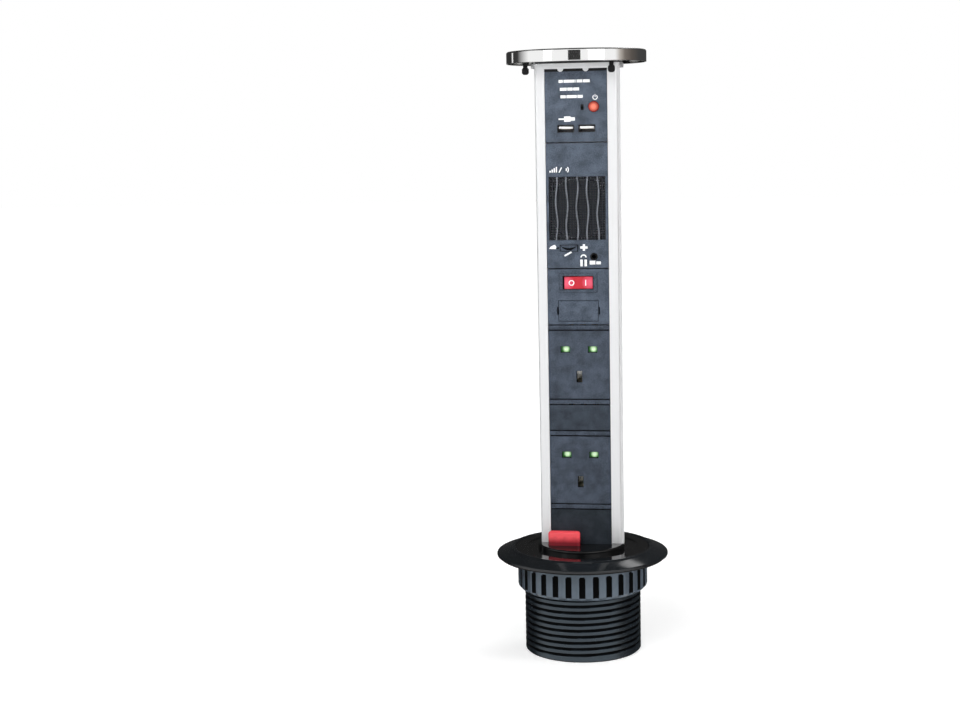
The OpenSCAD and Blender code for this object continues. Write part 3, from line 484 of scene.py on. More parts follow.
# The rocker's painted highlights sit 9 mm to each side of its middle.
rocker_highlights = (9.0, middle_of("rocker").z, 8.0)
SATIN = {"gloss": 0.3, "Coat_Weight": 0.3}
FINISH["signal_red"] = painted_light_moulding(
    "signal_red", (0.42, 0.018, 0.030), (0.62, 0.085, 0.14), 0.16, 0.25, rocker_highlights, 0.9,
    gloss=0.25, Coat_Weight=0.15,
)
# The release button: painted shade low down, painted light higher up, and a painted glow.
FINISH["button_red"] = painted_light_moulding(
    "button_red", (0.14, 0.008, 0.014), (0.68, 0.06, 0.075), 0.2, 0.3, (12.0, 19.5), **SATIN
)
# The power button: a painted glow in its middle and painted shade in a ring round it.
FINISH["power_orange"] = painted_light_moulding(
    "power_orange", (0.20, 0.010, 0.007), (0.78, 0.16, 0.09), 0.2, 0.22, (power.x, power.z, 4.9), **SATIN
)
print("glow of the rocker at", rocker_highlights)

# %% Finishes of single parts
# The grille's ribs are the plate's own plastic painted lighter, with paler edges: a painted highlight.
lit_rib_slate = slate("lit_rib_slate", (0.135, 0.145, 0.165), 1.3, 0.4)
# The socket plates are the panel's plastic painted darker, painted shade for light that falls off
# downwards.
shaded_socket_slate = slate("shaded_socket_slate", (0.053, 0.065, 0.088))
# A near black, painted shade in recesses, grooves and on the volume key; the indicator lens is black too.
lens_and_shade_black = moulded("lens_and_shade_black", (0.0012, 0.0013, 0.0016), 0.6, 2400, 0.01, edge=1.0, gloss=0.04)
# The brim's edges are painted four times paler: a painted highlight along its rims.
brim_black = moulded("brim_black", (0.009, 0.011, 0.013), 0.13, 500, 0.006, edge=4.0, edge_w=0.5)
print_white = moulded("print_white", (0.90, 0.91, 0.92), 0.55, 2500, 0.006, edge=1.0, spread=0.03)
OWN_FINISH = {
    # The blank plates lower down are painted darker still, painted shade.
    "blank_plate_middle": slate("shaded_blank_slate", (0.037, 0.046, 0.061)),
    "blank_plate_lower": slate("shaded_base_slate", (0.020, 0.025, 0.032)),
    # The switch bezel and the volume key get darker edges, painted shade round them.
    "rocker_case": slate("bezel_slate", (0.062, 0.077, 0.104), 0.03, 1.2),
    "volume_key": slate("key_slate", PANEL_TONE, 0.4, 0.4),
    "indicator_lens": lens_and_shade_black,
    "usb_tongues": moulded("tongue_white", (0.74, 0.75, 0.74), 0.4, 2200, 0.006, edge=1.0, spread=0.04),
}
PIN_ACROSS = 11.1
PIN_UP = {"upper": 171.0, "lower": 84.5}
for which, up in PIN_UP.items():
    OWN_FINISH["socket_faceplate_" + which] = shaded_socket_slate
    # Each shutter: a painted pool of light facing its pin hole, painted shade round it, and a painted glow.
    OWN_FINISH["shutter_" + which] = painted_light_moulding(
        "shutter_green_" + which, (0.012, 0.08, 0.012), (0.68, 0.97, 0.58), 0.3, 0.9, (PIN_ACROSS, up, 3.8)
    )
FINISH["shutter_green"] = OWN_FINISH["shutter_upper"]
print("finishes so far:", len(FINISH), "and", len(OWN_FINISH), "of single parts")

# %% [markdown]
# ## Metals
# The column is an extrusion, satin anodised: die lines run along it, so its noise is stretched a hundred
# times along Z. Its sides, which slide in the guide, are etched matt. The cap is turned stainless steel
# with a polished rim: its rings come from a noise that is read along the radius only. Small metal parts
# share one drawn finish in several colours.


# %% Drawn metals
def drawn_metal(name, colour, roughness, stretch, scale, depth, metallic=1.0, **sockets):
    material, tree, shader = new_finish(name, Metallic=metallic, **sockets)
    lines = grain(tree, scale, stretch, detail=4.0, roughness=0.6)
    body = shades(tree, lines, (0.3, scaled(colour, 0.94)), (0.7, colour))
    fill(tree, shader, {
        # Edges 15 percent paler: partly wear and partly a painted highlight.
        "Base Color": edge_dust_and_painted_light(tree, body, 0.3, scaled(colour, 1.15)),
        "Roughness": between(tree, lines, roughness * 0.8, roughness * 1.2),
        "Normal": bump(tree, lines, depth),
    })
    return material


ANODISED = (0.80, 0.805, 0.815)
DIE_LINES = ((1, 1, 0.01), 2600, 0.004)
EVEN = (1, 1, 1)
LENGTHWISE = (1, 1, 0.1)
METALS = {
    "zinc_steel": ((0.56, 0.58, 0.60), 0.35, EVEN, 1200, 0.006),
    "spring_steel": ((0.62, 0.63, 0.65), 0.25, EVEN, 1500, 0.004),
    # The USB shells are painted far darker than bare steel: painted shade of the ports' inside.
    "usb_steel": ((0.08, 0.08, 0.085), 0.3, (0.1, 1, 1), 1600, 0.003),
    "contact_brass": ((0.72, 0.5, 0.2), 0.28, LENGTHWISE, 1500, 0.004),
}
for name, look in METALS.items():
    FINISH[name] = drawn_metal(name, *look)
FINISH["column_aluminium"] = drawn_metal("column_aluminium", ANODISED, 0.4, *DIE_LINES, metallic=0.7)
side_aluminium = drawn_metal("side_aluminium", ANODISED, 0.6, *DIE_LINES, metallic=0.06, gloss=0.1)
for which in PIN_UP:
    name = "plated_contacts_" + which
    OWN_FINISH["contacts_" + which] = drawn_metal(name, (0.85, 0.85, 0.83), 0.22, LENGTHWISE, 1500, 0.004)
print("drawn metals", len(METALS) + 4)


# %% Turned steel
def across_axis(tree, parts):
    """The arrow from the Z axis to each point."""
    return vector(tree, X=parts["X"], Y=parts["Y"])


def turned_steel(name):
    material, tree, shader = new_finish(name, Metallic=1.0)
    radius = length_of(tree, across_axis(tree, place_of(tree)))
    noise = {"Vector": vector(tree, X=radius), "Scale": 2500.0, "Detail": 4.0}
    rings = output(tree, "ShaderNodeTexNoise", noise)
    normal = output(tree, "ShaderNodeNewGeometry", socket="Normal")
    on_top = calc(tree, "ABSOLUTE", output(tree, "ShaderNodeSeparateXYZ", {0: normal}, "Z"))
    fill(tree, shader, {
        "Base Color": shades(tree, rings, (0.3, (0.86, 0.86, 0.855)), (0.7, (0.91, 0.91, 0.905))),
        "Roughness": calc(tree, "MULTIPLY_ADD", on_top, between(tree, rings, 0.2, 0.3), 0.06),
        "Normal": bump(tree, rings, 0.002),
    })
    return material


FINISH["cap_steel"] = turned_steel("cap_steel")
missing = sorted({m["slot"] for m in record["materials"]} - set(FINISH))
print("finishes", len(FINISH), "slots without one:", missing)

# %% [markdown]
# ## Every CAD node gets its finish
# Nodes deep inside show only through a hole or from below, and need no more than their finish. The ones in
# plain sight are dressed next.


# %% Paint the nodes
def finish_of(node):
    return OWN_FINISH.get(node, FINISH[SLOT_OF[node]])


for name, piece in nodes.items():
    piece.data.materials.clear()
    piece.data.materials.append(finish_of(name))
print("painted", len(nodes), "nodes")

# %% [markdown]
# ## Soft edges on the visible parts
# A CAD edge is perfectly sharp and catches no light, while a real moulding or extrusion has a small
# radius. Each visible node is copied, its loose triangles are merged into clean faces, and its sharp edges
# are bevelled. Weighted normals keep the flat faces flat. The CAD mesh is left alone.

# %% Mesh helpers
MERGE = 0.001


def merged_copy(mesh, reach=MERGE):
    """A copy of a mesh to work on, with the points that lie within reach mm merged."""
    shape = bmesh.new()
    shape.from_mesh(mesh)
    bmesh.ops.remove_doubles(shape, verts=shape.verts, dist=reach * MM)
    return shape


def soften(shape, edges, width, segments):
    bmesh.ops.bevel(
        shape, geom=edges, offset=width * MM, offset_type="OFFSET", segments=segments, profile=0.5,
        affect="EDGES", clamp_overlap=True,
    )


def to_mesh(shape, name, smooth=False, outwards=True):
    if outwards:
        bmesh.ops.recalc_face_normals(shape, faces=shape.faces)
    for face in shape.faces:
        face.smooth = smooth
    mesh = bpy.data.meshes.new(name)
    shape.to_mesh(mesh)
    shape.free()
    return mesh


def show_piece(name, mesh, node, finish=None, replaces=True, flat_faces=False):
    """Links a mesh as a piece that rides with a node's body, takes its finish and mostly replaces it."""
    piece = in_scene(name, mesh)
    if not mesh.materials:
        mesh.materials.append(finish or finish_of(node))
    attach(piece, BODY_OF[node])
    if flat_faces:
        piece.modifiers.new("flat_faces", "WEIGHTED_NORMAL").keep_sharp = True
    if replaces:
        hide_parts(node)
    return piece


# %% Dressing helpers
FLAT_ANGLE = math.radians(0.5)
SHARP_ANGLE = math.radians(28)
EDGE_STEPS = 3


def dress(node, width):
    shape = merged_copy(nodes[node].data)
    bmesh.ops.dissolve_limit(shape, angle_limit=FLAT_ANGLE, verts=shape.verts, edges=shape.edges)
    sharp = [edge for edge in shape.edges if edge.is_manifold and edge.calc_face_angle() > SHARP_ANGLE]
    soften(shape, sharp, width, EDGE_STEPS)
    bmesh.ops.dissolve_degenerate(shape, dist=MERGE * MM, edges=shape.edges)
    name = node + "_dressed"
    return show_piece(name, to_mesh(shape, name, smooth=True, outwards=False), node, flat_faces=True)


def repaint(piece, material, chosen):
    """Gives a further material to the faces whose middle, in mm, is chosen."""
    mesh = piece.data
    mesh.materials.append(material)
    faces = [face for face in mesh.polygons if chosen(face.center / MM)]
    for face in faces:
        face.material_index = len(mesh.materials) - 1
    return len(faces)


# %% Dress the plates
PLATE_EDGES = {
    "usb_faceplate": 0.5, "speaker_faceplate": 0.35, "switch_faceplate": 0.5, "socket_faceplate_upper": 0.3,
    "socket_faceplate_lower": 0.3, "blank_plate_middle": 0.5, "blank_plate_lower": 0.5,
}
plates = {node: dress(node, width) for node, width in PLATE_EDGES.items()}
grille_low, grille_high = box_mm("grille_mesh")
RIB_INSET = 1.4
RECESS = 0.55
front = box_mm("usb_faceplate")[0].y


def in_grille(point):
    return all(grille_low[k] + RIB_INSET < point[k] < grille_high[k] - RIB_INSET for k in (0, 2))


print("rib faces", repaint(plates["speaker_faceplate"], lit_rib_slate, in_grille))
# Faces deeper than RECESS behind the front take the near black: painted shade in the seams and notches.
for node, plate in plates.items():
    print(node, "faces in the dark", repaint(plate, lens_and_shade_black, lambda p: p.y > front + RECESS))

# %% Dress the other visible nodes
EDGES = {
    "column_profile": 0.3, "head_plate": 0.5, "cap_hub": 0.4, "cap_bumpers": 0.3, "flange_gasket": 0.3,
    "deck_insert": 0.35, "column_guide": 0.3, "clamp_washer": 0.4, "foot_cap": 0.5, "cord_gland": 0.6,
    "latch_bolt": 0.2, "power_button": 0.3, "indicator_lens": 0.2, "usb_shells": 0.08, "volume_key": 0.5,
    "headphone_jack": 0.3, "rocker_case": 0.45, "rocker": 0.5, "fuse_carrier": 0.45, "shutter_upper": 0.2,
    "shutter_lower": 0.2,
}
SIDE_SKIN = 0.2
CASE_RECESS = 1.2
dressed = {node: dress(node, width) for node, width in EDGES.items()}
side_x = box_mm("column_profile")[1].x - SIDE_SKIN
print("side faces", repaint(dressed["column_profile"], side_aluminium, lambda p: abs(p.x) > side_x))
case_y = box_mm("rocker_case")[0].y + CASE_RECESS
# The rocker case's faces deep in the plate take the near black, painted shade.
repaint(dressed["rocker_case"], lens_and_shade_black, lambda p: p.y > case_y)
print("dressed", len(plates) + len(dressed), "nodes")

# %% [markdown]
# ## Turned shapes
# The collar, the nut and the cap are round. Their half section is drawn once, as corners with a radius
# each, and swept round the axis in fine steps, so that no facet shows in the polish. The rows can be dense
# just where the thread and the ribs need them.


# %% Lathe helpers
def round_corners(corners, closed, steps=4):
    """Corners are (radius, height, corner radius) in mm. Gives points in mm, with an arc at each corner."""
    points = []
    count = len(corners)
    for i, (r, z, size) in enumerate(corners):
        here = Vector((r, z))
        if size == 0 or (not closed and i in (0, count - 1)):
            points.append(here)
            continue
        before = (Vector(corners[i - 1][:2]) - here).normalized()
        after = (Vector(corners[(i + 1) % count][:2]) - here).normalized()
        half = before.angle(after) / 2
        reach = size / math.tan(half)
        centre = here + (before + after).normalized() * (size / math.sin(half))
        first = here + before * reach - centre
        last = here + after * reach - centre
        sweep = first.angle_signed(last)
        for step in range(steps + 1):
            points.append(centre + Matrix.Rotation(-sweep * step / steps, 2) @ first)
    return points


def fill_rows(points, step):
    """Adds points along straight stretches that are longer than step, in mm."""
    rows = []
    for start, end in zip(points, points[1:]):
        pieces = max(1, math.ceil((end - start).length / step))
        rows += [start.lerp(end, i / pieces) for i in range(pieces)]
    return rows + [points[-1]]


def skin(shape, low, high):
    """Faces between two closed loops of points. A loop of one point makes a tip."""
    count = max(len(low), len(high))
    for i in range(count):
        j = (i + 1) % count
        loop = [low[i % len(low)], low[j % len(low)], high[j % len(high)], high[i % len(high)]]
        shape.faces.new(list(dict.fromkeys(loop)))


def lathe(name, points, segments, closed):
    """Sweeps (radius, height) points in mm round Z. An open section starts and ends at the axis."""
    shape = bmesh.new()
    angles = [2 * math.pi * i / segments for i in range(segments)]
    rings = []
    for r, z in points:
        ways = angles if r > 1e-6 else [0.0]
        rings.append([shape.verts.new((r * math.cos(a) * MM, r * math.sin(a) * MM, z * MM)) for a in ways])
    for low, high in zip(rings, rings[1:] + (rings[:1] if closed else [])):
        skin(shape, low, high)
    return to_mesh(shape, name, smooth=True)


# %% [markdown]
# ## The cap
# A turned steel lid with a polished rim and a shallow dish on top. Its underside is hollow, so that the
# release button finds room when the tower is down.

# %% Turn the cap
low, high = box_mm("cap_disc")
cap_r, cap_low, cap_top = high.x, low.z, high.z
cap_ceiling = box_mm("cap_hub")[1].z
CAP_WALL = 1.6
RIM_W = 4.0
DISH_SLOPE = 1.0
DISH_DEPTH = 0.12
hollow_r = cap_r - CAP_WALL
dish_r = cap_r - RIM_W - DISH_SLOPE
dish_top = cap_top - DISH_DEPTH
cap_section = round_corners([
    (0, cap_ceiling, 0), (hollow_r, cap_ceiling, 0.8), (hollow_r, cap_low, 0.4), (cap_r, cap_low, 0.6),
    (cap_r, cap_top, 1.6), (cap_r - RIM_W, cap_top, 0), (dish_r, dish_top, 0), (0, dish_top, 0),
], closed=False, steps=6)
cap_mesh = lathe("cap_shell", cap_section, 256, closed=False)
show_piece("cap_shell", cap_mesh, "cap_disc", flat_faces=True)
print("cap radius", round(cap_r, 2), "mm, faces", len(cap_mesh.polygons))

# %% [markdown]
# ## Geometry Nodes in code
# A tree gets its sockets by name, and a modifier's input is set by the socket's identifier before the
# object is first evaluated. The result becomes a plain mesh and the modifier goes, because the export and
# the frame want real geometry.

# %% Tree helpers
SOCKET_KIND = {float: "NodeSocketFloat", int: "NodeSocketInt", tuple: "NodeSocketVector"}


def new_tree(name, **defaults):
    tree = bpy.data.node_groups.new(name, "GeometryNodeTree")
    for way in ("INPUT", "OUTPUT"):
        tree.interface.new_socket("Geometry", in_out=way, socket_type="NodeSocketGeometry")
    for key, value in defaults.items():
        made = tree.interface.new_socket(key, in_out="INPUT", socket_type=SOCKET_KIND[type(value)])
        made.default_value = value
    return tree, outputs_of(tree, "NodeGroupInput")


def placed(tree, geometry, move, turn=(0, 0, 0)):
    inputs = {"Geometry": geometry, "Translation": move, "Rotation": turn}
    return output(tree, "GeometryNodeTransform", inputs)


def end_tree(tree, geometry, material):
    real = output(tree, "GeometryNodeRealizeInstances", {"Geometry": geometry})
    smooth = output(tree, "GeometryNodeSetShadeSmooth", {"Geometry": real})
    painted = output(tree, "GeometryNodeSetMaterial", {"Geometry": smooth, "Material": material})
    outputs_of(tree, "NodeGroupOutput", {"Geometry": painted})
    return tree


def grow(mesh, tree, **values):
    """Runs a tree on a mesh and gives the result as a plain mesh."""
    carrier = in_scene("carrier", mesh)
    modifier = carrier.modifiers.new("grow", "NODES")
    modifier.node_group = tree
    for item in tree.interface.items_tree:
        if item.in_out == "INPUT" and item.name in values:
            modifier[item.identifier] = values[item.name]
    evaluated = carrier.evaluated_get(bpy.context.evaluated_depsgraph_get())
    grown = bpy.data.meshes.new_from_object(evaluated)
    bpy.data.objects.remove(carrier)
    paint = next(material for material in grown.materials if material)
    grown.materials.clear()
    grown.materials.append(paint)
    grown.polygons.foreach_set("material_index", [0] * len(grown.polygons))
    return grown


# %% Helpers for grooves
def polar(tree):
    """Angle in turns, radius and height of each point, and the direction away from the axis."""
    parts = outputs_of(tree, "ShaderNodeSeparateXYZ", {0: output(tree, "GeometryNodeInputPosition")})
    turns = calc(tree, "DIVIDE", calc(tree, "ARCTAN2", parts["Y"], parts["X"]), 2 * math.pi)
    flat = across_axis(tree, parts)
    outwards = output(tree, "ShaderNodeVectorMath", {0: flat}, operation="NORMALIZE")
    return turns, length_of(tree, flat), parts["Z"], outwards


def smooth_step(tree, value, start, end, low=0.0, high=1.0):
    return between(tree, value, low, high, start, end, interpolation_type="SMOOTHSTEP")


def tooth_wave(tree, phase):
    """0 in the middle of each period and 1 at its ends."""
    off = calc(tree, "SUBTRACT", calc(tree, "FRACT", phase), 0.5)
    return product(tree, calc(tree, "ABSOLUTE", off), 2.0)


def move_along(tree, geometry, direction, distance):
    offset = output(tree, "ShaderNodeVectorMath", {0: direction, "Scale": distance}, operation="SCALE")
    return output(tree, "GeometryNodeSetPosition", {"Geometry": geometry, "Offset": offset})


# %% [markdown]
# ## The collar and its thread
# One moulding: a conical brim with a raised bead, a pocket for the deck, and a long tube with the thread
# for the nut. A thread is a rule: the groove sits where height over pitch minus turns is a whole number.
# So the lathe gives a plain tube with dense rows, and a tree sinks the points of each groove and lets it
# fade at both ends.

# %% Turn the collar
low, high = box_mm("collar_housing")
brim_r, collar_low, collar_top = high.x, low.z, high.z
gasket_top = box_mm("flange_gasket")[1].z
deck_low, deck_high = box_mm("deck_insert")
guide_r = box_mm("column_guide")[1].x
tube_r = record["mounts"][0]["dims"]["r_mm"]
FIT = 0.2
BEAD_W = 3.2
GUIDE_LEDGE = 1.5
GUIDE_FLANGE = 2.0
BRIM_EDGE = 2.0
END_BEVEL = 1.2
THREAD_STEP = 0.36
bead_in = deck_high.x + FIT
bead_out = bead_in + BEAD_W
tube_in = guide_r - GUIDE_FLANGE
ledge_r = guide_r + FIT
pocket_z = deck_low.z
ledge_z = pocket_z - GUIDE_LEDGE
lower = round_corners([
    (tube_in, ledge_z, 0), (tube_in, collar_low, 0.5), (tube_r - END_BEVEL, collar_low, 0.3),
    (tube_r, collar_low + END_BEVEL, 0.4), (tube_r, gasket_top, 0),
], closed=False)
upper = round_corners([
    (tube_r, gasket_top, 0), (brim_r, gasket_top, 0.6), (brim_r, gasket_top + BRIM_EDGE, 0.9),
    (bead_out + 1.4, collar_top - 1.2, 0.8), (bead_out - 0.2, collar_top, 0.8), (bead_in, collar_top, 0.7),
    (bead_in, pocket_z, 0.2), (ledge_r, pocket_z, 0.2), (ledge_r, ledge_z, 0.2), (tube_in, ledge_z, 0),
], closed=False)
collar_rows = lower[:-2] + fill_rows(lower[-2:], THREAD_STEP)[:-1] + upper[:-1]
collar_plain = lathe("collar_plain", collar_rows, 168, closed=True)
print("collar: brim radius", round(brim_r, 2), "tube radius", tube_r, "rows", len(collar_rows))

# %% Thread tree
tree, sizes = new_tree("cut_thread", Crest=0.0475, Depth=0.0012, Pitch=0.005, Low=-0.07, High=-0.01)
turns, radius, height, outwards = polar(tree)
phase = calc(tree, "SUBTRACT", calc(tree, "DIVIDE", height, sizes["Pitch"]), turns)
groove = smooth_step(tree, tooth_wave(tree, phase), 0.46, 0.72)
starts = smooth_step(tree, height, sizes["Low"], calc(tree, "ADD", sizes["Low"], sizes["Pitch"]))
last_turn = calc(tree, "SUBTRACT", sizes["High"], sizes["Pitch"])
ends = smooth_step(tree, height, last_turn, sizes["High"], 1.0, 0.0)
outside = calc(tree, "GREATER_THAN", radius, calc(tree, "SUBTRACT", sizes["Crest"], 0.02 * MM))
below = calc(tree, "LESS_THAN", height, sizes["High"])
sink = product(tree, groove, starts, ends, outside, below, sizes["Depth"], -1.0)
cut_thread = end_tree(tree, move_along(tree, sizes["Geometry"], outwards, sink), FINISH["collar_black"])
print("thread tree nodes", len(tree.nodes))

# %% Cut the thread
THREAD_PITCH = 5.0
THREAD_DEPTH = 1.2
THREAD_FROM = collar_low + 1.4
THREAD_TO = -0.2
collar = show_piece("collar_threaded", grow(
    collar_plain, cut_thread, Crest=tube_r * MM, Depth=THREAD_DEPTH * MM, Pitch=THREAD_PITCH * MM,
    Low=THREAD_FROM * MM, High=THREAD_TO * MM,
), "collar_housing")


def radius_of(point):
    return math.hypot(point.x, point.y)


repaint(collar, brim_black, lambda p: p.z > gasket_top - 0.05 and radius_of(p) > tube_r + 0.5)
# The thread's groove takes the near black, painted shade.
in_groove = repaint(collar, lens_and_shade_black, lambda p: (
    p.z < 0 and tube_r - THREAD_DEPTH - 0.1 < radius_of(p) < tube_r - THREAD_DEPTH / 2
))
print("collar faces", len(collar.data.polygons), "in the thread's groove", in_groove)

# %% [markdown]
# ## The ribbed nut
# The nut is gripped by hand under the worktop, so it has thirty broad ribs under a plain band. A second
# tree sinks the grooves between them, down to one depth, so that they run out on the rounded lower edge.

# %% Turn the nut
low, high = box_mm("lock_nut")
nut_r, nut_low, nut_top = high.x, low.z, high.z
NUT_BORE = tube_r + 0.5
RIBS = 30
GROOVE_DEPTH = 1.8
LOWER_SLOPE = 3.0
BAND_H = 2.4
band_low = nut_top - BAND_H
nut_rows = fill_rows(round_corners([
    (NUT_BORE, nut_top, 0.3), (NUT_BORE, nut_low, 0.3), (nut_r - LOWER_SLOPE, nut_low, 0.8),
    (nut_r, nut_low + LOWER_SLOPE, 1.6), (nut_r, nut_top, 0.7),
], closed=True), 0.8)
nut_plain = lathe("nut_plain", nut_rows, RIBS * 18, closed=True)
print("nut radius", round(nut_r, 2), "rows", len(nut_rows))

# %% Rib the nut
tree, sizes = new_tree("grip_ribs", Count=30, Radius=0.053, Depth=0.0018, Top=-0.0053)
turns, radius, height, outwards = polar(tree)
groove = smooth_step(tree, tooth_wave(tree, product(tree, turns, sizes["Count"])), 0.5, 0.74)
full_from = calc(tree, "SUBTRACT", sizes["Top"], 0.9 * MM)
under_band = smooth_step(tree, height, full_from, sizes["Top"], 1.0, 0.0)
floor_r = calc(tree, "SUBTRACT", sizes["Radius"], sizes["Depth"])
above_floor = calc(tree, "MAXIMUM", calc(tree, "SUBTRACT", radius, floor_r), 0.0)
sink = product(tree, groove, under_band, above_floor, -1.0)
grip_ribs = end_tree(tree, move_along(tree, sizes["Geometry"], outwards, sink), FINISH["nut_black"])
nut = show_piece("lock_nut_ribbed", grow(
    nut_plain, grip_ribs, Count=RIBS, Radius=nut_r * MM, Depth=GROOVE_DEPTH * MM, Top=band_low * MM,
), "lock_nut")
# The grooves between the ribs take the near black, painted shade.
in_groove = repaint(nut, lens_and_shade_black, lambda p: (
    nut_low + 2.6 < p.z < band_low - 0.3 and NUT_BORE + 1 < radius_of(p) < nut_r - 0.75
))
print("ribs", RIBS, "faces", len(nut.data.polygons), "in grooves", in_groove)

# %% [markdown]
# ## The perforated sheet behind the grille
# Behind the wavy ribs lies a thin sheet with hundreds of small holes. One tile, a square with a round
# hole, has few faces, and a tree sets it on every point of a grid. A wall closes the rim of the tiles, and
# a plain border goes round them.


# %% One tile
def hole_tile(size, hole_r, front, back, sides=8):
    """A square tile in the XZ plane with a round hole, open at its edges, where the next one goes on."""
    shape = bmesh.new()

    def point(step, depth, radius=None):
        """A point on the hole, or without a radius on the square's edge."""
        a = 2 * math.pi * step / sides
        reach = radius or size / 2 / max(abs(math.cos(a)), abs(math.sin(a)))
        return shape.verts.new((reach * math.cos(a) * MM, depth * MM, reach * math.sin(a) * MM))

    holes = []
    for depth in (front, back):
        inner = [point(i + 0.5, depth, hole_r) for i in range(sides)]
        outer = [point(i + 0.5, depth) for i in range(sides)]
        for i in range(sides):
            j = (i + 1) % sides
            corner = [point(i + 1, depth)] if i % 2 == 0 else []
            loop = [inner[i], inner[j], outer[j], *corner, outer[i]]
            shape.faces.new(loop if depth == back else loop[::-1])
        holes.append(inner)
    skin(shape, *holes)
    return to_mesh(shape, "hole_tile", outwards=False)


HOLE_PITCH = 2.0
HOLE_R = 0.7
LEAST_BORDER = 1.6
sheet_size = grille_high - grille_low
sheet_middle = middle_of("grille_mesh")
columns, rows_up = (int((sheet_size[k] - LEAST_BORDER) / HOLE_PITCH) for k in (0, 2))
half_t = sheet_size.y / 2
tile = hole_tile(HOLE_PITCH, HOLE_R, -half_t, half_t)
print("perforations", columns * rows_up, "of", len(tile.polygons), "faces each")

# %% Lay the tiles
tree, sizes = new_tree("perforate", Columns=20, Rows=20, Pitch=0.002, Place=(0.0, 0.0, 0.0))
spans = []
for count in ("Columns", "Rows"):
    spans.append(product(tree, calc(tree, "SUBTRACT", sizes[count], 1.0), sizes["Pitch"]))
lattice = output(tree, "GeometryNodeMeshGrid", {
    "Size X": spans[0], "Size Y": spans[1], "Vertices X": sizes["Columns"], "Vertices Y": sizes["Rows"],
})
upright = placed(tree, lattice, sizes["Place"], (math.pi / 2, 0, 0))
tiles = output(tree, "GeometryNodeInstanceOnPoints", {"Points": upright, "Instance": sizes["Geometry"]})
perforate = end_tree(tree, tiles, FINISH["mesh_black"])
tiled_mesh = grow(
    tile, perforate, Columns=columns, Rows=rows_up, Pitch=HOLE_PITCH * MM, Place=tuple(sheet_middle * MM)
)
print("tiled faces", len(tiled_mesh.polygons))

# %% Close the sheet and add its border
shape = merged_copy(tiled_mesh, 2 * MERGE)
bmesh.ops.bridge_loops(shape, edges=[edge for edge in shape.edges if edge.is_boundary])
tiled = (columns * HOLE_PITCH / 2, rows_up * HOLE_PITCH / 2)
whole = (sheet_size.x / 2, sheet_size.z / 2)
ahead, behind = grille_low.y, grille_high.y
rings = []
for (half_x, half_z), y in ((whole, ahead), (tiled, ahead), (tiled, behind), (whole, behind)):
    corners = [(sheet_middle.x + x * half_x, y, sheet_middle.z + z * half_z) for x, z in SQUARE]
    rings.append([shape.verts.new(Vector(corner) * MM) for corner in corners])
for ring, following in zip(rings, rings[1:] + rings[:1]):
    skin(shape, ring, following)
sheet = show_piece("grille_sheet", to_mesh(shape, "grille_sheet"), "grille_mesh")
print("sheet faces", len(sheet.data.polygons))

# %% [markdown]
# ## Springs
# Four coil springs hide behind the button, the latch and the shutters. A spiral curve with a round section
# is a coil, and one tree makes them all.

# %% Coil tree
tree, sizes = new_tree(
    "coil", Radius=0.002, Wire=0.0004, Length=0.01, Turns=7.0, Place=(0.0, 0.0, 0.0), Tilt=0.0
)
spiral = output(tree, "GeometryNodeCurveSpiral", {
    "Resolution": 20, "Rotations": sizes["Turns"],
    "Start Radius": sizes["Radius"], "End Radius": sizes["Radius"],
    "Height": calc(tree, "SUBTRACT", sizes["Length"], product(tree, sizes["Wire"], 2.0)),
})
wire = output(tree, "GeometryNodeCurvePrimitiveCircle", {"Resolution": 8, "Radius": sizes["Wire"]})
swept = {"Curve": spiral, "Profile Curve": wire, "Fill Caps": True}
raised = placed(tree, output(tree, "GeometryNodeCurveToMesh", swept), vector(tree, Z=sizes["Wire"]))
tilted = placed(tree, raised, sizes["Place"], vector(tree, X=sizes["Tilt"]))
coil = end_tree(tree, tilted, FINISH["spring_steel"])
print("coil tree nodes", len(tree.nodes))

# %% Wind the springs
SPRINGS = {
    "release_spring": ("release_press", "Z", 7.0, 0.4, "low", 0.749),
    "latch_spring": ("latch_slide", "Y", 5.0, 0.35, "low", 0.657),
    "shutter_spring_upper": ("shutter_upper_slide", "Z", 9.0, 0.2, "high", 0.319),
    "shutter_spring_lower": ("shutter_lower_slide", "Z", 9.0, 0.2, "high", 0.319),
}
for node, (joint, axis, coils, wire_mm, fixed, keep) in SPRINGS.items():
    low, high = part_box(node)
    along = "XYZ".index(axis)
    coil_r = (high.x - low.x) / 2 - wire_mm * MM
    start = (low + high) / 2
    anchor = start.copy()
    start[along] = low[along] if axis == "Z" else high[along]
    anchor[along] = low[along] if fixed == "low" else high[along]
    piece = show_piece(node + "_coil", grow(
        plain_mesh("empty", []), coil, Radius=coil_r, Wire=wire_mm * MM, Length=high[along] - low[along],
        Turns=coils, Place=tuple(start), Tilt=0.0 if axis == "Z" else math.pi / 2,
    ), node)
    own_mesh(piece)
    print(node, "coil radius", round(coil_r / MM, 2), "mm, faces", len(piece.data.polygons))

# %% [markdown]
# ## Screws under the foot and the brim
# Screws with a cross recess hold the foot to the column and the deck to the collar. A tree cuts one head,
# one bar of the cross at a time, and sets it where each CAD screw stands. The bars differ in depth,
# because two cuts that end in the same plane leave doubled faces.

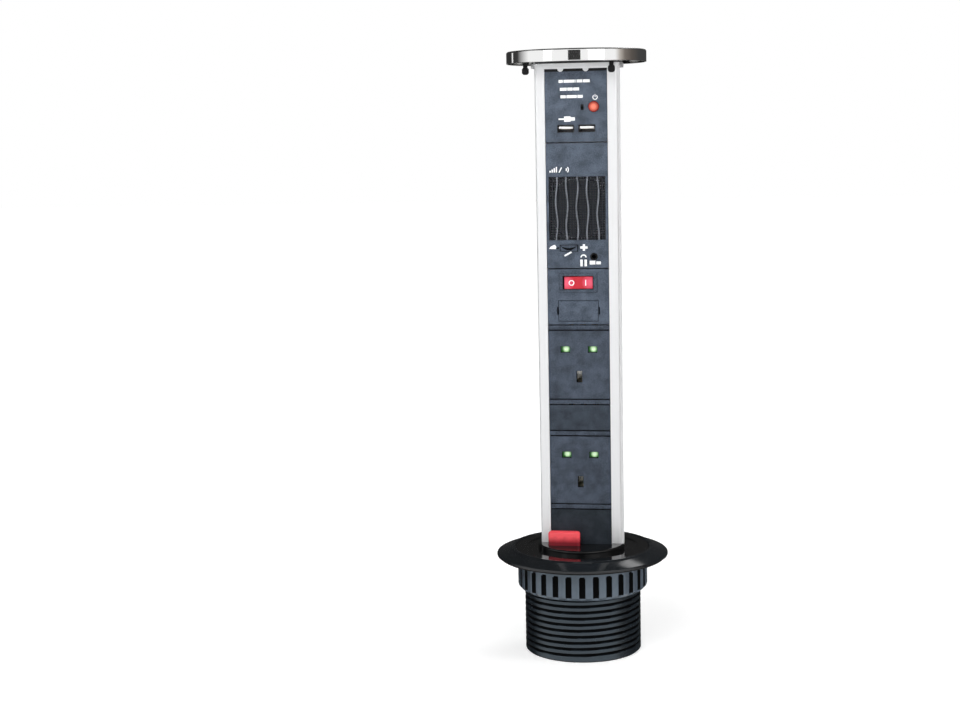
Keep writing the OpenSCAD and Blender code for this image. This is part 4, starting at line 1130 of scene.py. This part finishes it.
# %% Screw tree
tree, sizes = new_tree("cross_screws", Radius=0.0026, Height=0.0016, Recess=0.0008)
head = output(tree, "GeometryNodeMeshCylinder", {
    "Vertices": 32, "Radius": sizes["Radius"], "Depth": sizes["Height"],
})
slot_long = product(tree, sizes["Radius"], 1.15)
slot_wide = product(tree, sizes["Radius"], 0.26)
half_down = vector(tree, Z=product(tree, sizes["Height"], -0.5))
for size_x, size_y, share in ((slot_long, slot_wide, 1.0), (slot_wide, slot_long, 0.8)):
    size = vector(tree, X=size_x, Y=size_y, Z=product(tree, sizes["Recess"], share))
    cutter = placed(tree, output(tree, "GeometryNodeMeshCube", {"Size": size}), half_down)
    head = output(tree, "GeometryNodeMeshBoolean", {0: head, 1: cutter}, operation="DIFFERENCE")
heads = output(tree, "GeometryNodeInstanceOnPoints", {"Points": sizes["Geometry"], "Instance": head})
cross_screws = end_tree(tree, heads, FINISH["zinc_steel"])
print("screw tree nodes", len(tree.nodes))


# %% Set the screws
def screw_heads(node, places, z_middle, radius, height):
    name = node[:-1] + "_heads"
    points = plain_mesh(name, [(x * MM, y * MM, z_middle * MM) for x, y in places])
    mesh = grow(points, cross_screws, Radius=radius * MM, Height=height * MM, Recess=height * MM)
    for face in mesh.polygons:
        face.use_smooth = False
    show_piece(name, mesh, node)
    print(name, len(places))


low, high = box_mm("foot_screws")
SCREW_R = 2.6
SCREW_T = 1.6
REAR_X = 19.0
foot_rows = ((high.x - SCREW_R, low.y + SCREW_R), (REAR_X, high.y - SCREW_R))
foot_places = [(side * x, y) for x, y in foot_rows for side in (-1, 1)]
screw_heads("foot_screws", foot_places, low.z + SCREW_T / 2, SCREW_R, SCREW_T)

DECK_RING = bead_in - 3.8
DECK_SCREW_R = 2.2
DECK_SCREW_T = 1.4
PROUD = 0.06
ways = [math.radians(a) for a in (30, 150, 270)]
deck_places = [(DECK_RING * math.cos(a), DECK_RING * math.sin(a)) for a in ways]
deck_middle = gasket_top - PROUD + DECK_SCREW_T / 2
screw_heads("deck_screws", deck_places, deck_middle, DECK_SCREW_R, DECK_SCREW_T)

# %% [markdown]
# ## USB tongues with their contacts
# Inside each USB port a pale tongue carries four gilt strips on its lower face. They are tiny, but the
# port is open to the front, and they catch the light. Boxes with a bevel are enough.


# %% Box helper and contacts
def bevelled_boxes(name, boxes, width, segments=2):
    """One mesh of bevelled boxes, each given by its lowest and highest corner in mm."""
    shape = bmesh.new()
    for low, high in boxes:
        for vert in bmesh.ops.create_cube(shape, size=1.0)["verts"]:
            vert.co = Vector([(low[k] if vert.co[k] < 0 else high[k]) * MM for k in range(3)])
    soften(shape, list(shape.edges), width, segments)
    return to_mesh(shape, name)


low, high = box_mm("usb_tongues")
TONGUE_HALF = 11.1 / 2
STRIP_W = 1.1
STRIP_T = 0.12
STRIP_INSET = 0.6
tongues, strips = [], []
for side in (-1, 1):
    x = side * ((high.x - low.x) / 2 - TONGUE_HALF)
    tongues.append(((x - TONGUE_HALF, low.y, low.z), (x + TONGUE_HALF, high.y, high.z)))
    for place in (-3.5, -1.0, 1.0, 3.5):
        left = x + place - STRIP_W / 2
        strip_low = (left, low.y + STRIP_INSET, low.z - STRIP_T)
        strips.append((strip_low, (left + STRIP_W, high.y - STRIP_INSET, low.z + STRIP_T)))
tongue_mesh = bevelled_boxes("usb_tongue_pair", tongues, 0.18)
show_piece("usb_tongue_pair", tongue_mesh, "usb_tongues")
show_piece(
    "usb_contact_strips", bevelled_boxes("usb_contact_strips", strips, 0.04), "usb_tongues",
    FINISH["contact_brass"], replaces=False,
)
print("contact strips", len(strips))

# %% [markdown]
# ## The release button
# The red button is a soft pillow, rounder than a bevel on the CAD mesh allows, because its small cam and
# flange clamp every bevel. So the CAD mesh is cut off below the deck's boss, which hides the cut, and a
# well rounded block of the same size goes on top.

# %% Round the button
CUT_Z = 7.0
HEAD_ROUND = 2.4
HEAD_STEPS = 6
BUTTON_LEFT, BUTTON_RIGHT = -26.0, 0.0
BUTTON_FRONT, BUTTON_BACK = -17.5, -11.0
head_low = (BUTTON_LEFT, BUTTON_FRONT, CUT_Z - HEAD_ROUND)
head_high = (BUTTON_RIGHT, BUTTON_BACK, box_mm("release_button")[1].z)
head = bevelled_boxes("release_head", [(head_low, head_high)], HEAD_ROUND, HEAD_STEPS)
shape = merged_copy(nodes["release_button"].data)
bmesh.ops.bisect_plane(
    shape, geom=shape.verts[:] + shape.edges[:] + shape.faces[:], dist=MERGE * MM,
    plane_co=(0, 0, CUT_Z * MM), plane_no=(0, 0, 1), clear_outer=True,
)
bmesh.ops.holes_fill(shape, edges=[edge for edge in shape.edges if edge.is_boundary])
shape.from_mesh(head)
open_edges = sum(edge.is_boundary for edge in shape.edges)
button_mesh = to_mesh(shape, "release_button_round", smooth=True)
show_piece("release_button_round", button_mesh, "release_button", flat_faces=True)
print("release button faces", len(button_mesh.polygons), "open edges", open_edges)

# %% [markdown]
# ## Printed marks
# The front carries white prints: rows of plain bars, and common signs, such as a power ring, plus and
# minus, and O and I on the rocker. Each mark is a film of paint three hundredths of a millimetre thick on
# the plate that carries it. Thicker films make the thin trim, a lip and its tabs. Dark films are painted
# shadow: under the head plate, on the lower part of the volume key and behind the microphone hole; another
# dark film goes round the lens.

# %% Mark helpers
PAINT = 0.03


def bar(u, v, length, width, lean=0.0):
    c, s = math.cos(math.radians(lean)), math.sin(math.radians(lean))
    corners = [(x * length / 2, y * width / 2) for x, y in SQUARE]
    return [(u + x * c - y * s, v + x * s + y * c) for x, y in corners]


def round_points(u, v, radius, start, end, steps):
    angles = [math.radians(start + (end - start) * i / steps) for i in range(steps + 1)]
    return [(u + radius * math.cos(a), v + radius * math.sin(a)) for a in angles]


def arc(u, v, radius, width, start, end, steps=20):
    outer = round_points(u, v, radius + width / 2, start, end, steps)
    return outer + round_points(u, v, radius - width / 2, end, start, steps)


def facing_front(x, y, z):
    """The upright plane through a point in mm."""
    return Matrix.Translation(Vector((x, y, z)) * MM) @ Matrix.Rotation(math.pi / 2, 4, "X")


def print_marks(name, outlines, place, node, paint=print_white, thick=PAINT):
    """Films from outlines of (across, up) in mm, on the plane that place puts them on."""
    shape = bmesh.new()
    for outline in outlines:
        back, face = (
            [shape.verts.new(place @ Vector((u * MM, v * MM, out * MM))) for u, v in outline]
            for out in (0, thick)
        )
        shape.faces.new(face)
        shape.faces.new(back[::-1])
        skin(shape, back, face)
    mesh = to_mesh(shape, name)
    mesh.materials.append(paint)
    piece = in_scene(name, mesh)
    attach(piece, BODY_OF[node])
    print(name, len(outlines))


# %% Marks on the front
usb_z = box_mm("usb_faceplate")[0].z
grille_top = grille_high.z
volume = middle_of("volume_key")
jack = middle_of("headphone_jack")
BAR_H = 2.3
BAR_GAP = 0.55
BAR_ROWS = [
    (-13.6, 47.9, (3.4, 8.9, 0.5, 4.6, 5.2)),
    (-12.6, 41.7, (5.4, 4.2, 4.6)),
    (-12.2, 35.8, (4.2, 8.2, 4.2)),
]
WEDGE = [(-3.0, -1.3), (2.4, -1.6), (2.9, 0.2), (2.0, 1.9), (0.8, 1.7), (-1.6, 0.5)]
EAR_PADS = [bar(side * 1.7, -4.4, 5.4, 2.0, 90) for side in (-1, 1)]
PLUS = [bar(0, 0, 5.8, 1.8)] + [bar(0, side * 1.75, 1.7, 1.8, 90) for side in (1, -1)]
SIGNS = [
    (power.x + 1.2, power.z + 7.3, [arc(0, 0, 1.75, 0.55, 125, 415), bar(0, 1.3, 2.2, 0.55, 90)]),
    (-7.6, usb_z + 18.2, [bar(0.6, 0, 5.2, 4.2), bar(4.9, 0, 3.4, 2.6), bar(-4.2, 0, 4.4, 1.2)]),
    (-21.4, grille_top + 3.2, [bar(1.7 * i, 0.5 * i, 1.4 + i, 1.0, 90) for i in range(4)]),
    (-9.9, grille_top + 4.6, [arc(0, 0, radius, 0.8, -40, 40) for radius in (1.6, 3.2)]),
    (-13.2, grille_top + 4.4, [bar(0, 0, 4.6, 0.9, 62)]),
    (volume.x - 13.2, volume.z + 0.8, [WEDGE]),
    (volume.x + 12.0, volume.z + 0.4, PLUS),
    (volume.x - 0.9, volume.z - 4.7, [bar(0, 0, 6.4, 1.4, 28)]),
    (jack.x - 8.4, jack.z - 0.6, [arc(0, 0, 2.0, 1.0, 0, 180), *EAR_PADS]),
    (jack.x - 1.2, jack.z - 4.8, [bar(0, 0, 4.6, 3.0), bar(4.8, -0.2, 3.6, 2.4)]),
]
marks = []
for left, up, lengths in BAR_ROWS:
    for length in lengths:
        marks.append(bar(left + length / 2, usb_z + up, length, BAR_H))
        left += length + BAR_GAP
for across, up, outlines in SIGNS:
    marks += [[(across + u, up + v) for u, v in outline] for outline in outlines]
on_front = facing_front(0, front, 0)
print_marks("front_prints", marks, on_front, "usb_faceplate")

# %% Painted shadow along the lower part of the volume key
KEY_SHADOW_W = 6.1
on_key = facing_front(volume.x, box_mm("volume_key")[0].y, volume.z)
shares = [i / 10 for i in range(-10, 11)]
lower_edge = [(KEY_SHADOW_W * t, 2.9 * t ** 2 - 1.7) for t in shares]
upper_edge = [(u, v + 0.4 + 1.35 * (1 - t ** 2)) for t, (u, v) in zip(shares, lower_edge)]
print_marks("volume_key_shadow", [lower_edge + upper_edge[::-1]], on_key, "volume_key", lens_and_shade_black)

# %% Lip and tabs of the head plate, dark films of painted shadow under it and behind the microphone hole, and round the lens
head_z = box_mm("head_plate")[0].z
plate_w = 2 * box_mm("usb_faceplate")[1].x
TAB_R = 2.4
TABS = (-12.1, 8.0)
LIP = 0.9
LIP_T = 0.18
HEAD_SHADOW_H = 2.2
FILM = 0.1
tabs = [round_points(u, head_z - LIP, TAB_R, 180, 360, 10) for u in TABS]
lip = bar(0, head_z - LIP / 2, plate_w, LIP)
aluminium = FINISH["column_aluminium"]
print_marks("head_tabs", [*tabs, lip], on_front, "head_plate", aluminium, LIP_T)
# A dark disc behind the microphone hole is painted shade, so that the hole reads black.
MIC_X = -15.6
MIC_SHADE_R = 1.2
MIC_SHADE_GAP = 0.13
rubber = FINISH["seal_rubber"]
back_of_plate = facing_front(0, box_mm("speaker_faceplate")[1].y + MIC_SHADE_GAP, 0)
disc = [(MIC_X + MIC_SHADE_R * math.cos(0.3 * i), volume.z + MIC_SHADE_R * math.sin(0.3 * i)) for i in range(21)]
print_marks("mic_hole_shade", [disc], back_of_plate, "speaker_faceplate", rubber, FILM)
# A dark film under the head plate is a painted shadow where it meets the panel; another goes round the
# lens.
lens = middle_of("indicator_lens")
dark = [bar(0, head_z - LIP - HEAD_SHADOW_H / 2, plate_w, HEAD_SHADOW_H), bar(lens.x, lens.z + 0.3, 4.6, 2.4, 90)]
print_marks("head_shadow_and_lens_surround", dark, on_front, "head_plate", rubber, FILM)

# %% Marks on the rocker
rocker_joint = next(j for j in record["behaviour"]["joints"] if j["name"] == "rocker_tip")
pivot = Vector(rocker_joint["pos_m"])
ROCKER_TILT = math.radians(7)
HALF_W = 11.4
EDGE_OUT = 4.2
DIP_OUT = 3.4
ROCKER_MARKS = {
    "rocker_mark_off": (-1, arc(0, 0, 1.9, 0.7, 0, 359, 28)),
    "rocker_mark_on": (1, bar(0, 0, 4.6, 0.8, 90)),
}
for name, (side, outline) in ROCKER_MARKS.items():
    across = Vector((HALF_W, -side * (EDGE_OUT - DIP_OUT), 0)).normalized()
    face = Matrix((across, (0, 0, 1), (across.y, -across.x, 0))).transposed().to_4x4()
    face.translation = Vector((side * HALF_W / 2, -(EDGE_OUT + DIP_OUT) / 2, 0)) * MM
    place = Matrix.Translation(pivot) @ Matrix.Rotation(ROCKER_TILT, 4, "Z") @ face
    print_marks(name, [outline], place, "rocker")
